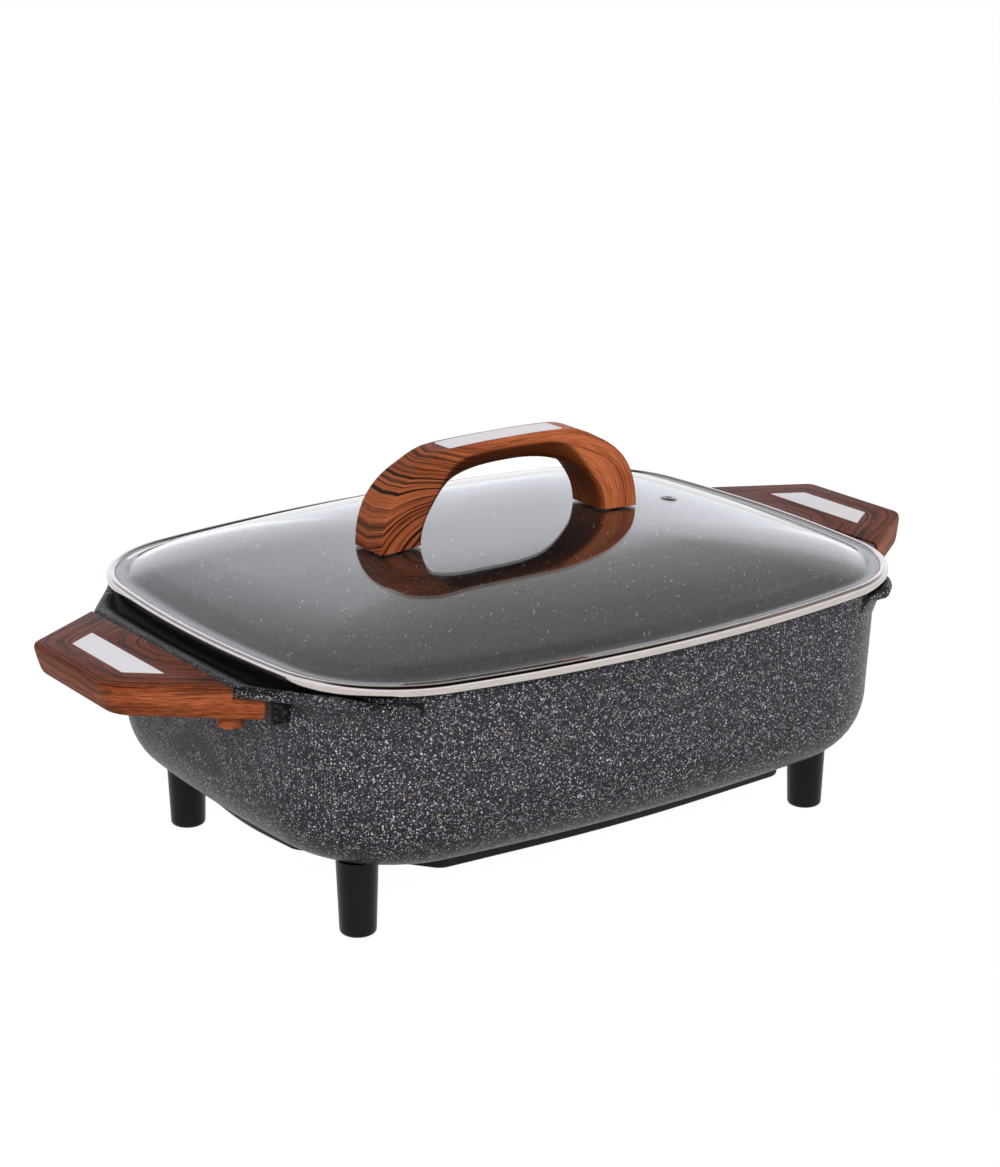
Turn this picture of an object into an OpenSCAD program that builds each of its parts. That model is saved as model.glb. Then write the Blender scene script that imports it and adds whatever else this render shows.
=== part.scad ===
// Electric skillet: a cast pan on four legs, two side handles and a glass lid that lifts off.
// Sizes are in millimetres. Z is up, X runs from handle to handle and the legs stand on Z = 0.

/* [Lid] */
// Length of the lid over its steel rim, along X
lid_length = 400; // [380:1:430]
// Width of the lid over its steel rim, along Y
lid_width = 328.6; // [310:0.2:350]
// Plan radius of the bowed long sides
lid_side_radius = 713; // [620:1:900]
// Plan radius of the bowed ends
lid_end_radius = 720; // [620:1:900]
// Plan radius of the corners
lid_corner_radius = 75.7; // [65:0.1:85]
// Height of the steel rim
rim_height = 4.8; // [4:0.1:6]
// How far the rim reaches over the glass
rim_depth = 5; // [4:0.1:6]
// How far the rim hangs below the lip that holds the glass
rim_skirt = 1.2; // [0:0.1:1.6]
// Sheet thickness of the rim
rim_sheet = 0.7; // [0.5:0.1:1]
// Flat border of the glass before the dome begins
glass_border = 10; // [8:0.5:14]
// Rise of the dome above the flat border
dome_rise = 24.3; // [18:0.1:30]
// Distance of the steam vent from the middle of the lid
vent_x = 121; // [112:1:128]

/* [Pan] */
// Height of the pan's top edge, where the lid rests
pan_height = 146.5; // [130:0.5:165]
// Height of the underside of the floor
floor_underside = 42; // [38:0.5:50]
// Thickness of the floor
floor_thickness = 7; // [6:0.5:10]
// Thickness of the wall
wall = 4; // [3:0.1:5]
// How far the lid's rim stands out over the pan's top edge
lid_overhang = 6.5; // [6:0.1:9]
// Height at which the wall starts to round into the floor
round_height = 77; // [70:1:90]
// Width of that rounding
round_width = 29; // [22:0.5:34]
// Inset of the wall's lower end from the lid's ends
lower_inset_x = 4.5; // [3:0.1:8]
// Inset of the wall's lower end from the lid's long sides
lower_inset_y = 15.1; // [10:0.1:18]
// Plan radius of the lower corners
lower_corner_radius = 79; // [60:0.5:85]

/* [Shelf] */
// How far the shelf stands out from the lid's ends
shelf_reach = 15.5; // [13:0.1:18]
// Depth of the shelf's top below the pan's top edge
shelf_drop = 3.5; // [2.5:0.1:6]
// Thickness of the shelf
shelf_thickness = 6.5; // [6:0.1:9]
// Half length of the shelf's straight outer edge
shelf_half = 75; // [70:0.5:80]

/* [Side handles] */
// How far a handle stands out from the lid's ends
handle_reach = 68.5; // [60:0.5:75]
// Half length of a handle's outer edge
handle_outer_half = 40; // [34:0.5:46]
// Thickness of a handle
handle_thickness = 16.6; // [14.5:0.1:20]
// How far the lower tier reaches back under the shelf
handle_tuck = 14; // [12:0.1:15]
// Radius of a handle's outer corners
handle_corner = 9; // [4:0.5:12]
// How far a handle's outer end leans in at its foot
handle_lean = 4; // [0:0.5:5]
// Angle at which a handle rises outwards
handle_rise = 2.4; // [0:0.1:3]
// Width of a handle's inlaid plate, along X
plate_width = 20; // [12:0.5:22]
// Half length of the plate's inner edge
plate_half = 38.5; // [30:0.5:42]
// Thickness of the inlaid plates
plate_thickness = 1.5; // [1:0.1:2]

/* [Legs] */
// Inset of the legs from the lid's ends
leg_inset_x = 46.75; // [44:0.25:52]
// Inset of the legs from the lid's long sides
leg_inset_y = 74.2; // [68:0.2:80]
// Diameter of a leg at the table
leg_foot_diameter = 19.6; // [17:0.2:24]
// Diameter of a leg at the pan
leg_top_diameter = 22.4; // [20:0.2:24]

/* [Base cover] */
// Room between the base cover and the probe sleeve
cover_room = 0.3; // [0.3:0.1:2]
// Sheet thickness of the base cover
cover_sheet = 2; // [1.5:0.1:2.5]
// Inset of the cover from the lid's ends
cover_inset_x = 32; // [30:0.5:36]
// Inset of the cover from the lid's long sides
cover_inset_y = 46.8; // [44:0.2:52]

/* [Lid handle] */
// Height of the lid handle above the glass at its feet
grip_height = 52.5; // [44:0.5:60]
// Distance of each foot from the middle of the lid
foot_x = 73; // [70:0.5:78]
// Size of a foot along X
foot_length = 26; // [24:0.5:30]
// Thickness of the grip at its top
grip_thickness = 14.5; // [13:0.5:18]
// Widest breadth of the grip at its top
grip_breadth = 25; // [22:0.5:28]
// Length of the inlaid plate
grip_plate_length = 77; // [60:1:86]
// Breadth of the inlaid plate
grip_plate_breadth = 18; // [10:0.5:18.5]

/* [Heater] */
// Diameter of the heating tube
tube_diameter = 6.5; // [6:0.1:7.5]
// Diameter of a contact pin
pin_diameter = 4; // [3.5:0.1:5]
// Distance of each pin from the middle
pin_y = 11; // [10.5:0.1:13]
// How far the pins stand out past the base cover
pin_reach = 18; // [14:0.5:22]
// Outer diameter of the probe sleeve
sleeve_diameter = 7.6; // [7.5:0.1:8.5]
// Bore of the probe sleeve
sleeve_bore = 6; // [5:0.1:6.4]

/* [Fasteners] */
// Diameter of the screws in the pan
screw_diameter = 4; // [3.5:0.1:4.5]
// Diameter of the screws in the lid handle
lid_screw_diameter = 5; // [4:0.1:5.5]
// Clearance round every screw, pin and inlaid plate
clearance = 0.15; // [0.1:0.05:0.3]

/* [Hidden] */
$fn = 96;
half_length = lid_length / 2;
half_width = lid_width / 2;
eps = 0.01;

// Lid levels: the glass rests just above the pan's top edge.
seat_gap = 0.2;
glass_bottom = pan_height + seat_gap;
glass_thickness = rim_height - 2 * rim_sheet;
rim_bottom = glass_bottom - rim_sheet;
glass_edge = rim_sheet + 0.5;
dome_length = half_length - glass_border;
dome_base = glass_bottom + glass_thickness;

// The dome flattens towards the middle; s is the distance from the middle as a share of the border's.
function dome_z(s) = dome_base + dome_rise * (1 - pow(s, 3));
foot_in = (foot_x - 17) / dome_length;
foot_out = (foot_x + 17) / dome_length;
vent_in = (vent_x - 12) / dome_length;
vent_out = (vent_x + 12) / dome_length;
dome_steps = [1, 0.95, 0.88, 0.8, vent_out, vent_in, foot_out, foot_in, 0.12];
foot_fall = (dome_z(foot_in) - dome_z(foot_out)) / 34;
foot_z = dome_z(foot_in) - 17 * foot_fall;
foot_tilt = atan(foot_fall);
vent_fall = (dome_z(vent_in) - dome_z(vent_out)) / 24;
vent_z = dome_z(vent_in) - 12 * vent_fall;
vent_tilt = atan(vent_fall);

// Pan levels.
shelf_top = pan_height - shelf_drop;
shelf_bottom = shelf_top - shelf_thickness;
shelf_x = half_length + shelf_reach;
floor_top = floor_underside + floor_thickness;
lower_side_radius = 1056;
lower_end_radius = 925;
round_steps = 7;

// Where the shelf's slanted ends run back into the wall, from its outer corner.
shelf_wing = [[-32, 41.5], [-39, 57], [-50, 66]];
shelf_root = 65;

// Handles, seen from above on the +X side.
handle_gap = 0.8;
handle_x = half_length + handle_reach;
handle_bottom = shelf_top - handle_thickness;
handle_slope = (shelf_half - handle_outer_half) / (handle_x - shelf_x);
tuck_x = shelf_x - handle_tuck;
tuck_half = shelf_half + handle_slope * handle_tuck;
plate_margin = 15.2;
plate_mid = handle_x - plate_margin - plate_width / 2;
handle_screw_x = shelf_x - 4.5;
handle_screw_y = shelf_half - 10;
handle_boss = 14;
handle_boss_drop = 7.4;
screw_head = 1.85 * screw_diameter;

// Legs and base cover.
heater_gap = 0.1;
leg_x = half_length - leg_inset_x;
leg_y = half_width - leg_inset_y;
leg_boss = 12;
leg_boss_drop = 8;
leg_web = 8;
leg_seat = floor_underside - leg_boss_drop - leg_web;
screw_bite = 2;
cover_x = half_length - cover_inset_x;
cover_y = half_width - cover_inset_y;
cover_depth = heater_gap + sleeve_diameter + cover_room + cover_sheet;
cover_bottom = floor_underside - cover_depth;
cover_bow_x = 4;
cover_bow_y = 7.5;
cover_end_half = leg_y - 46.5;
cover_side_half = leg_x - 39;
cover_corner = 10;
cover_end_round = 0.5 * cover_end_half * cover_end_half / cover_bow_x;
cover_side_round = 0.5 * cover_side_half * cover_side_half / cover_bow_y;
cover_edge = 0.8;
cover_post_x = 70;
cover_post_y = 40;
cover_post = 10;

// Heater: the tube lies against the floor inside the cover.
tube_z = floor_underside - tube_diameter / 2 - heater_gap;
tube_inset_x = 43;
tube_inset_y = 42;
tube_x = cover_x - tube_inset_x;
tube_y = cover_y - tube_inset_y;
tube_bend = 30;
lead_bend = 20;
lead_inset = 16;
lead_end = cover_x - lead_inset;
bead_length = 7;
bead_gap = 0.3;
guard_sheet = 2.5;
guard_floor = (sleeve_diameter - sleeve_bore) / 2 + cover_room - clearance;
guard_flange = 3;
guard_room = 14;
guard_lip = 4;
guard_back = lead_end + bead_length + bead_gap + guard_sheet;
guard_half = pin_y + guard_room;
guard_end = cover_x + pin_reach + guard_lip;
sleeve_z = floor_underside - sleeve_diameter / 2 - heater_gap;
sleeve_tuck = 15;
sleeve_reach = 8;
sleeve_cap = 2;
sleeve_start = tube_x - sleeve_tuck;
sleeve_end = cover_x + sleeve_reach;

// Grip: an arch between the feet, whose outer and inner curves are superellipses.
grip_base = foot_z - 4;
grip_top = foot_z + grip_height;
grip_outer = foot_x + foot_length / 2 + 1;
grip_inner = foot_x - foot_length / 2 + 1;
grip_steps = 36;
gasket_thickness = 1.2;
gasket_diameter = 17;
washer_thickness = 1.2;
washer_diameter = 14;
glass_gap = 0.02;
lid_screw_reach = 15;
lid_screw_hole = 17;
vent_bore = 4;
vent_tube = 6;
vent_flange = 10.4;
vent_lip = 0.9;
grip_outer_power = 2.7;
grip_inner_power = 2.5;

// The inlaid plate is bent to the arch's crown.
grip_plate_end = grip_plate_length / 2;
grip_plate_fall = (grip_top - grip_base)
    * (1 - pow(1 - pow(grip_plate_end / grip_outer, grip_outer_power), 1 / grip_outer_power));
grip_plate_radius = (pow(grip_plate_end, 2) + pow(grip_plate_fall, 2)) / (2 * grip_plate_fall);

// Middle of a corner arc that is tangent, from inside, to the side arc and the end arc.
function corner_middle(a, b, r_side, r_end, r) =
    let (s = [0, b - r_side], e = [a - r_end, 0], d = norm(e - s), u = (e - s) / d)
    let (m = ((r_side - r) * (r_side - r) - (r_end - r) * (r_end - r) + d * d) / (2 * d))
    let (h = sqrt((r_side - r) * (r_side - r) - m * m))
    s + u * m + [u.y, -u.x] * h;

function arc(c, r, from, to, n, first = 0) =
    [for (i = [first:n]) c + r * [cos(from + (to - from) * i / n), sin(from + (to - from) * i / n)]];

// A quarter of a rounded rectangle with bowed sides, from +X round to +Y.
function quarter(a, b, r_side, r_end, r) =
    let (c = corner_middle(a, b, r_side, r_end, r))
    let (t_end = atan2(c.y, c.x - a + r_end), t_side = atan2(c.y - b + r_side, c.x))
    concat(arc([a - r_end, 0], r_end, 0, t_end, 4),
        arc(c, r, t_end, t_side, 8, 1),
        arc([0, b - r_side], r_side, t_side, 90, 4, 1));

function outline(a, b, r_side, r_end, r) =
    let (q = quarter(a, b, r_side, r_end, r), n = len(q))
    concat(q,
        [for (i = [n - 2:-1:0]) [-q[i].x, q[i].y]],
        [for (i = [1:n - 1]) [-q[i].x, -q[i].y]],
        [for (i = [n - 2:-1:1]) [q[i].x, -q[i].y]]);

// The lid's outline, taken in by an offset.
function lid_outline(inset) =
    outline(half_length - inset, half_width - inset, lid_side_radius - inset,
        lid_end_radius - inset, lid_corner_radius - inset);

// The outline of the wall's lower end, taken in by an offset.
function lower_outline(inset) =
    outline(half_length - lower_inset_x - inset, half_width - lower_inset_y - inset,
        lower_side_radius - inset, lower_end_radius - inset, lower_corner_radius - inset);

function ring(points, z) = [for (p = points) [p.x, p.y, z]];
function scaled(points, s) = [for (p = points) s * p];
function unit(v) = v / norm(v);
function across(v) = [-v.y, v.x];

// A polygon, anticlockwise, with its sides taken in by d.
function inset(points, d) =
    let (n = len(points))
    [for (i = [0:n - 1])
        let (u = across(unit(points[i] - points[(i + n - 1) % n])))
        let (v = across(unit(points[(i + 1) % n] - points[i])))
        points[i] + (u + v) * d / (1 + u * v)];

// A convex polygon, anticlockwise, with its corners rounded to the given radii.
function rounded(points, radii, steps) =
    let (n = len(points))
    [for (i = [0:n - 1])
        let (u = unit(points[(i + n - 1) % n] - points[i]), v = unit(points[(i + 1) % n] - points[i]))
        let (turn = 180 - acos(u * v), c = points[i] + unit(u + v) * radii[i] / cos(turn / 2))
        for (k = [0:steps]) c + radii[i] * toward(atan2(u.x, -u.y) + turn * k / steps)];

function toward(angle) = [cos(angle), sin(angle)];

// A closed skin over rings that have the same number of points: capped at both ends, or joined in a loop.
module loft(rings, loop = false) {
    n = len(rings[0]);
    m = len(rings);
    bands = loop ? m : m - 1;
    ends = [[for (j = [0:n - 1]) j], [for (j = [n - 1:-1:0]) (m - 1) * n + j]];
    polyhedron(
        points = [for (r = rings) for (p = r) p],
        faces = concat(
            [for (i = [0:bands - 1], j = [0:n - 1])
                let (up = (i + 1) % m * n, next = (j + 1) % n)
                [i * n + j, up + j, up + next]],
            [for (i = [0:bands - 1], j = [0:n - 1])
                let (up = (i + 1) % m * n, next = (j + 1) % n)
                [i * n + j, up + next, i * n + next]],
            loop ? [] : ends));
}

// Places a child at both ends or at all four corners.
module at_ends() {
    children();
    mirror([1, 0, 0]) children();
}

module at_corners(x, y) {
    for (i = [-1, 1], j = [-1, 1])
        translate([i * x, j * y, 0])
            children();
}

// A screw along Z with its head's bearing face on Z = 0 and its shank above.
module screw(d, length) {
    translate([0, 0, -0.65 * d])
        cylinder(d = 1.85 * d, h = 0.65 * d);
    translate([0, 0, -eps])
        cylinder(d = d, h = length + eps);
}

module pan_shell() {
    inner_round = round_width - 2;
    loft(concat(
        [for (k = [0:round_steps])
            let (t = 90 * k / round_steps)
            ring(lower_outline(round_width * (1 - sin(t))),
                floor_underside + (round_height - floor_underside) * (1 - cos(t)))],
        [ring(lid_outline(lid_overhang), pan_height)],
        [ring(lid_outline(lid_overhang + wall), pan_height)],
        [for (k = [round_steps:-1:0])
            let (t = 90 * k / round_steps)
            ring(lower_outline(wall + inner_round * (1 - sin(t))),
                floor_top + (round_height - floor_top) * (1 - cos(t)))]));
}

// The shelf at the +X end, with the small stops beside the handle's lower tier.
module pan_shelf() {
    translate([0, 0, shelf_bottom])
        linear_extrude(shelf_thickness)
            difference() {
                polygon(concat(
                    [[shelf_x, -shelf_half], [shelf_x, shelf_half]],
                    [for (p = shelf_wing) [shelf_x + p.x, shelf_half + p.y]],
                    [for (j = [1, -1]) [shelf_x - shelf_root, j * (shelf_half + shelf_wing[2].y)]],
                    [for (i = [2:-1:0]) [shelf_x + shelf_wing[i].x, -shelf_half - shelf_wing[i].y]]));
                polygon(lid_outline(lid_overhang + wall / 2));
            }
    for (j = [-1, 1])
        translate([half_length - 9, j * (tuck_half + 3) - 1.5, shelf_bottom - 12])
            cube([11, 3, 12.5]);
}

module pan_body() {
    color("#34343a")
        difference() {
            union() {
                pan_shell();
                at_ends() pan_shelf();
                at_corners(leg_x, leg_y)
                    translate([0, 0, floor_underside - leg_boss_drop])
                        cylinder(d = leg_boss, h = leg_boss_drop + 1);
                at_corners(cover_post_x, cover_post_y)
                    translate([0, 0, cover_bottom + cover_sheet])
                        cylinder(d = cover_post, h = cover_depth - cover_sheet + 1);
            }
            at_corners(leg_x, leg_y)
                translate([0, 0, floor_underside - leg_boss_drop - 1])
                    cylinder(d = screw_diameter + 2 * clearance, h = leg_boss_drop + screw_bite + 2);
            at_corners(cover_post_x, cover_post_y)
                translate([0, 0, cover_bottom])
                    cylinder(d = screw_diameter + 2 * clearance, h = cover_depth + screw_bite + 1);
            at_corners(handle_screw_x, handle_screw_y)
                translate([0, 0, shelf_bottom - 1])
                    cylinder(d = screw_diameter + 2 * clearance, h = shelf_thickness - 0.5);
        }
}

// A ring of a side handle, rising outwards from the shelf's edge.
function risen(points, z) = [for (p = points) [p.x, p.y, z + (p.x - shelf_x) * tan(handle_rise)]];

// A side handle's corners at the +X end, its outer edge taken in by a distance.
function handle_slab(take_in) =
    let (x = handle_x - take_in, y = handle_outer_half + handle_slope * take_in)
    [[tuck_x, -tuck_half], [x, -y], [x, y], [tuck_x, tuck_half]];

// A side handle at the +X end: a trapezoid slab whose lower tier runs back under the shelf.
module side_handle() {
    levels = [[1.6, 0], [0.7, 0.5], [0.25, 1.8], [0, 4], [0, handle_thickness - 3.2],
        [0.7, handle_thickness - 1.2], [1.5, handle_thickness - 0.35], [2.4, handle_thickness]];
    difference() {
        union() {
            loft([for (l = levels)
                risen(rounded(inset(handle_slab(handle_lean * (1 - l[1] / handle_thickness)), l[0]),
                    [1.2, handle_corner - l[0], handle_corner - l[0], 1.2], 6), handle_bottom + l[1])]);
            for (j = [-1, 1])
                translate([handle_screw_x, j * handle_screw_y, handle_bottom - handle_boss_drop])
                    cylinder(d = handle_boss, h = handle_boss_drop + 1);
        }
        translate([tuck_x - 5, -tuck_half - 5, shelf_bottom])
            cube([handle_tuck + 5 + handle_gap, 2 * tuck_half + 10, handle_thickness]);
        for (j = [-1, 1])
            translate([handle_screw_x, j * handle_screw_y, handle_bottom - handle_boss_drop]) {
                translate([0, 0, -1])
                    cylinder(d = screw_diameter + 2 * clearance, h = handle_thickness + handle_boss_drop);
                translate([0, 0, -1])
                    cylinder(d = screw_head + 0.6, h = handle_boss_drop + 1);
            }
        on_handle() plate_form(0, 1);
    }
}

function plate_outline(take_in) =
    let (w = plate_width / 2, far = plate_half - handle_slope * plate_width * 0.84)
    inset([[plate_mid - w, -plate_half], [plate_mid + w, -far], [plate_mid + w, far],
        [plate_mid - w, plate_half]], take_in);

// Turns what lies level with the shelf onto the rising top of a handle.
module on_handle() {
    translate([shelf_x, 0, shelf_top])
        rotate([0, -handle_rise, 0])
            translate([-shelf_x, 0, -shelf_top])
                children();
}

// The inlaid plate's form, standing proud of the handle by a little.
module plate_form(take_in, proud) {
    translate([0, 0, shelf_top - plate_thickness])
        linear_extrude(plate_thickness + proud)
            polygon(plate_outline(take_in));
}

module handle_plate() {
    on_handle() plate_form(clearance, 0.1);
}

module left_handle() {
    color("#8a4a2b") mirror([1, 0, 0]) side_handle();
}

module right_handle() {
    color("#8a4a2b") side_handle();
}

module left_handle_plate() {
    color("#dcdadd") mirror([1, 0, 0]) handle_plate();
}

module right_handle_plate() {
    color("#dcdadd") handle_plate();
}

module handle_screws() {
    color("#b8bcc0")
        at_corners(handle_screw_x, handle_screw_y)
            translate([0, 0, handle_bottom])
                screw(screw_diameter, handle_thickness - 2.5);
}

// A leg standing on the table, turned in one piece, with a deep seat for its screw.
module leg() {
    socket = floor_underside - leg_boss_drop - clearance;
    color("#17181a")
        difference() {
            rotate_extrude()
                polygon([[0, 0], [leg_foot_diameter / 2 - 2, 0], [leg_foot_diameter / 2 - 0.6, 0.6],
                    [leg_foot_diameter / 2, 2], [leg_top_diameter / 2, floor_underside],
                    [0, floor_underside]]);
            translate([0, 0, -1])
                cylinder(d = screw_head + 1.6, h = leg_seat + 1);
            translate([0, 0, leg_seat - 1])
                cylinder(d = screw_diameter + 2 * clearance, h = floor_underside);
            translate([0, 0, socket])
                cylinder(d = leg_boss + 2 * clearance, h = floor_underside);
        }
}

module front_left_leg() {
    translate([-leg_x, -leg_y, 0]) leg();
}

module front_right_leg() {
    translate([leg_x, -leg_y, 0]) leg();
}

module rear_left_leg() {
    translate([-leg_x, leg_y, 0]) leg();
}

module rear_right_leg() {
    translate([leg_x, leg_y, 0]) leg();
}

module leg_screws() {
    color("#b8bcc0")
        at_corners(leg_x, leg_y)
            translate([0, 0, leg_seat])
                screw(screw_diameter, floor_underside - leg_seat + screw_bite);
}

// The cover's outline: an octagon with bowed sides whose cut corners pass inside the legs.
function cover_outline(take_in) =
    let (a = [cover_x - cover_bow_x, cover_end_half], b = [cover_side_half, cover_y - cover_bow_y])
    let (r = cover_corner - take_in)
    rounded(inset([[cover_x, 0], a, b, [0, cover_y], [-b.x, b.y], [-a.x, a.y], [-cover_x, 0], -a, -b,
        [0, -cover_y], [b.x, -b.y], [a.x, -a.y]], take_in),
        [for (k = [0, 1]) for (q = [cover_end_round, r, r, cover_side_round, r, r]) q], 5);

module base_cover() {
    color("#1b1c1e")
        difference() {
            union() {
                translate([0, 0, cover_bottom])
                    linear_extrude(cover_edge + eps)
                        polygon(cover_outline(cover_edge));
                translate([0, 0, cover_bottom + cover_edge])
                    linear_extrude(cover_depth - cover_edge)
                        polygon(cover_outline(0));
            }
            translate([0, 0, cover_bottom + cover_sheet])
                linear_extrude(cover_depth)
                    polygon(cover_outline(cover_sheet));
            at_corners(cover_post_x, cover_post_y)
                translate([0, 0, cover_bottom - 1])
                    cylinder(d = screw_diameter + 2 * clearance, h = cover_sheet + 2);
            translate([guard_back, -guard_half - clearance, cover_bottom + cover_sheet])
                cube([guard_end, 2 * (guard_half + clearance), cover_depth]);
        }
}

module base_cover_screws() {
    color("#b8bcc0")
        at_corners(cover_post_x, cover_post_y)
            translate([0, 0, cover_bottom])
                screw(screw_diameter, cover_depth + screw_bite);
}

// Half of the heating tube's route, on the +Y side, at its own height.
module half_tube() {
    r = tube_diameter / 2;
    translate([-eps, tube_y, 0])
        rotate([0, 90, 0])
            cylinder(r = r, h = tube_x - tube_bend + 2 * eps);
    mirror([1, 0, 0])
        translate([-eps, tube_y, 0])
            rotate([0, 90, 0])
                cylinder(r = r, h = tube_x - tube_bend + 2 * eps);
    for (i = [0, 1])
        mirror([i, 0, 0])
            translate([tube_x - tube_bend, tube_y - tube_bend, 0])
                rotate_extrude(angle = 90)
                    translate([tube_bend, 0])
                        circle(r = r);
    translate([-tube_x, -eps, 0])
        rotate([-90, 0, 0])
            cylinder(r = r, h = tube_y - tube_bend + 2 * eps);
    translate([tube_x, pin_y + lead_bend - eps, 0])
        rotate([-90, 0, 0])
            cylinder(r = r, h = tube_y - tube_bend - pin_y - lead_bend + 2 * eps);
    translate([tube_x + lead_bend, pin_y + lead_bend, 0])
        rotate(180)
            rotate_extrude(angle = 90)
                translate([lead_bend, 0])
                    circle(r = r);
    translate([tube_x + lead_bend - eps, pin_y, 0])
        rotate([0, 90, 0])
            cylinder(r = r, h = lead_end - tube_x - lead_bend + eps);
}

module heating_element() {
    color("#6d6a66")
        translate([0, 0, tube_z])
            difference() {
                union() {
                    half_tube();
                    mirror([0, 1, 0]) half_tube();
                }
                for (j = [-1, 1])
                    translate([lead_end - 5, j * pin_y, 0])
                        rotate([0, 90, 0])
                            cylinder(d = pin_diameter + 2 * clearance, h = 6);
            }
}

module element_insulators() {
    color("#ece7dc")
        for (j = [-1, 1])
            translate([lead_end, j * pin_y, tube_z])
                rotate([0, 90, 0])
                    difference() {
                        cylinder(d = tube_diameter, h = bead_length);
                        translate([0, 0, -1])
                            cylinder(d = pin_diameter + 2 * clearance, h = bead_length + 2);
                    }
}

module terminal_pins() {
    color("#c9c7c0")
        for (j = [-1, 1])
            translate([lead_end - 4, j * pin_y, tube_z])
                rotate([0, 90, 0]) {
                    cylinder(d = pin_diameter, h = cover_x + pin_reach - lead_end + 3);
                    translate([0, 0, cover_x + pin_reach - lead_end + 3])
                        cylinder(d1 = pin_diameter, d2 = pin_diameter - 1.4, h = 1);
                }
}

// A tray round the pins, open at its outer end and closed above by the pan.
// Its floor is slotted for the sleeve.
module terminal_guard() {
    low = cover_bottom + cover_sheet;
    color("#1f2023")
        difference() {
            union() {
                translate([guard_back, -guard_half, low])
                    cube([guard_end - guard_back, 2 * guard_half, floor_underside - low]);
                translate([guard_back - guard_sheet, -guard_half - guard_flange, low])
                    cube([guard_sheet, 2 * (guard_half + guard_flange), floor_underside - low]);
            }
            translate([guard_back, guard_sheet - guard_half, low + guard_floor])
                cube([guard_end, 2 * (guard_half - guard_sheet), cover_depth]);
            for (j = [-1, 1])
                translate([guard_back - guard_sheet - 1, j * pin_y, tube_z])
                    rotate([0, 90, 0])
                        cylinder(d = pin_diameter + 2 * clearance, h = guard_sheet + 2);
            translate([guard_back - guard_sheet - 1, -sleeve_diameter / 2 - clearance, low - 1])
                cube([sleeve_end - guard_back + guard_sheet + 2, sleeve_diameter + 2 * clearance,
                    cover_depth + 2]);
        }
}

module probe_sleeve() {
    color("#a9abad")
        translate([sleeve_start, 0, sleeve_z])
            rotate([0, 90, 0])
                difference() {
                    cylinder(d = sleeve_diameter, h = sleeve_end - sleeve_start);
                    translate([0, 0, sleeve_cap])
                        cylinder(d = sleeve_bore, h = sleeve_end);
                }
}

// Local frames on the glass: Z stands square to the dome.
module at_foot(side) {
    translate([side * foot_x, 0, foot_z])
        rotate([0, side * foot_tilt, 0])
            children();
}

module at_vent() {
    translate([vent_x, 0, vent_z])
        rotate([0, vent_tilt, 0])
            children();
}

module lid_glass() {
    edge = lid_outline(glass_edge);
    border = lid_outline(glass_border);
    color("#cfdcdc", 0.45)
        difference() {
            loft(concat(
                [for (i = [len(dome_steps) - 1:-1:0])
                    ring(scaled(border, dome_steps[i]), dome_z(dome_steps[i]) - glass_thickness)],
                [ring(edge, glass_bottom), ring(edge, dome_base)],
                [for (s = dome_steps) ring(scaled(border, s), dome_z(s))]));
            for (i = [-1, 1])
                at_foot(i)
                    translate([0, 0, -10])
                        cylinder(d = lid_screw_diameter + 2 * clearance, h = 20);
            at_vent()
                translate([0, 0, -10])
                    cylinder(d = vent_tube + 2 * clearance, h = 20);
        }
}

// A rolled steel channel round the glass; its section gives each ring's inset and height.
module lid_rim() {
    h = rim_height;
    s = rim_sheet;
    bend = 0.9;
    k = rim_skirt;
    section = [[rim_depth, -k], [bend, -k], [0, bend - k], [0, h - bend], [bend, h], [rim_depth, h],
        [rim_depth, h - s], [glass_edge - 0.1, h - s], [s, h - s - 0.5], [s, s + 0.5],
        [glass_edge - 0.1, s], [rim_depth, s]];
    color("#d6d5d2")
        loft([for (p = section) ring(lid_outline(p[0]), rim_bottom + p[1])], loop = true);
}

// A point of the arch: t runs from 0 at the right foot to 180 at the left foot.
function arch(t, x, height, power) =
    [x * sign(cos(t)) * pow(abs(cos(t)), 2 / power), grip_base + height * pow(sin(t), 2 / power)];

// Half sections of the grip: how far out from the inner curve, and how broad. The crown has a flat top
// and a ridge below it; the feet are square with soft corners.
crown_side = [[1, 0.76], [0.9, 0.87], [0.77, 0.98], [0.7, 1],
    [0.58, 0.94], [0.3, 0.68], [0.08, 0.45], [0, 0.3]];
foot_side = [[1, 0.8], [0.97, 0.92], [0.88, 0.99], [0.5, 1],
    [0.12, 1], [0.03, 0.95], [0, 0.86], [0, 0.5]];

// One section of the grip, square to the arch, between the crown's form and the feet's.
function grip_section(t) =
    let (o = arch(t, grip_outer, grip_top - grip_base, grip_outer_power))
    let (i = arch(t, grip_inner, grip_top - grip_thickness - grip_base, grip_inner_power))
    let (flare = 1 + 0.16 * abs(cos(t)), w = flare * grip_breadth / 2)
    let (u = max(0, min(1, (abs(cos(t)) - 0.2) / 0.7)), f = u * u * (3 - 2 * u))
    let (side = [for (k = [0:len(crown_side) - 1]) crown_side[k] * (1 - f) + foot_side[k] * f])
    concat(
        [[o.x, -side[0][1] * w, o.y]],
        [for (p = side) [i.x + (o.x - i.x) * p[0], p[1] * w, i.y + (o.y - i.y) * p[0]]],
        [for (k = [len(side) - 1:-1:1])
            [i.x + (o.x - i.x) * side[k][0], -side[k][1] * w, i.y + (o.y - i.y) * side[k][0]]]);

module lid_handle() {
    color("#8a4a2b")
        difference() {
            loft([for (k = [0:grip_steps]) grip_section(180 * k / grip_steps)]);
            for (i = [-1, 1])
                at_foot(i) {
                    translate([-30, -30, gasket_thickness - 40])
                        cube([60, 60, 40]);
                    cylinder(d = lid_screw_diameter + 2 * clearance, h = lid_screw_hole);
                }
            grip_plate_form(0, 5, 0);
        }
}

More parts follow.
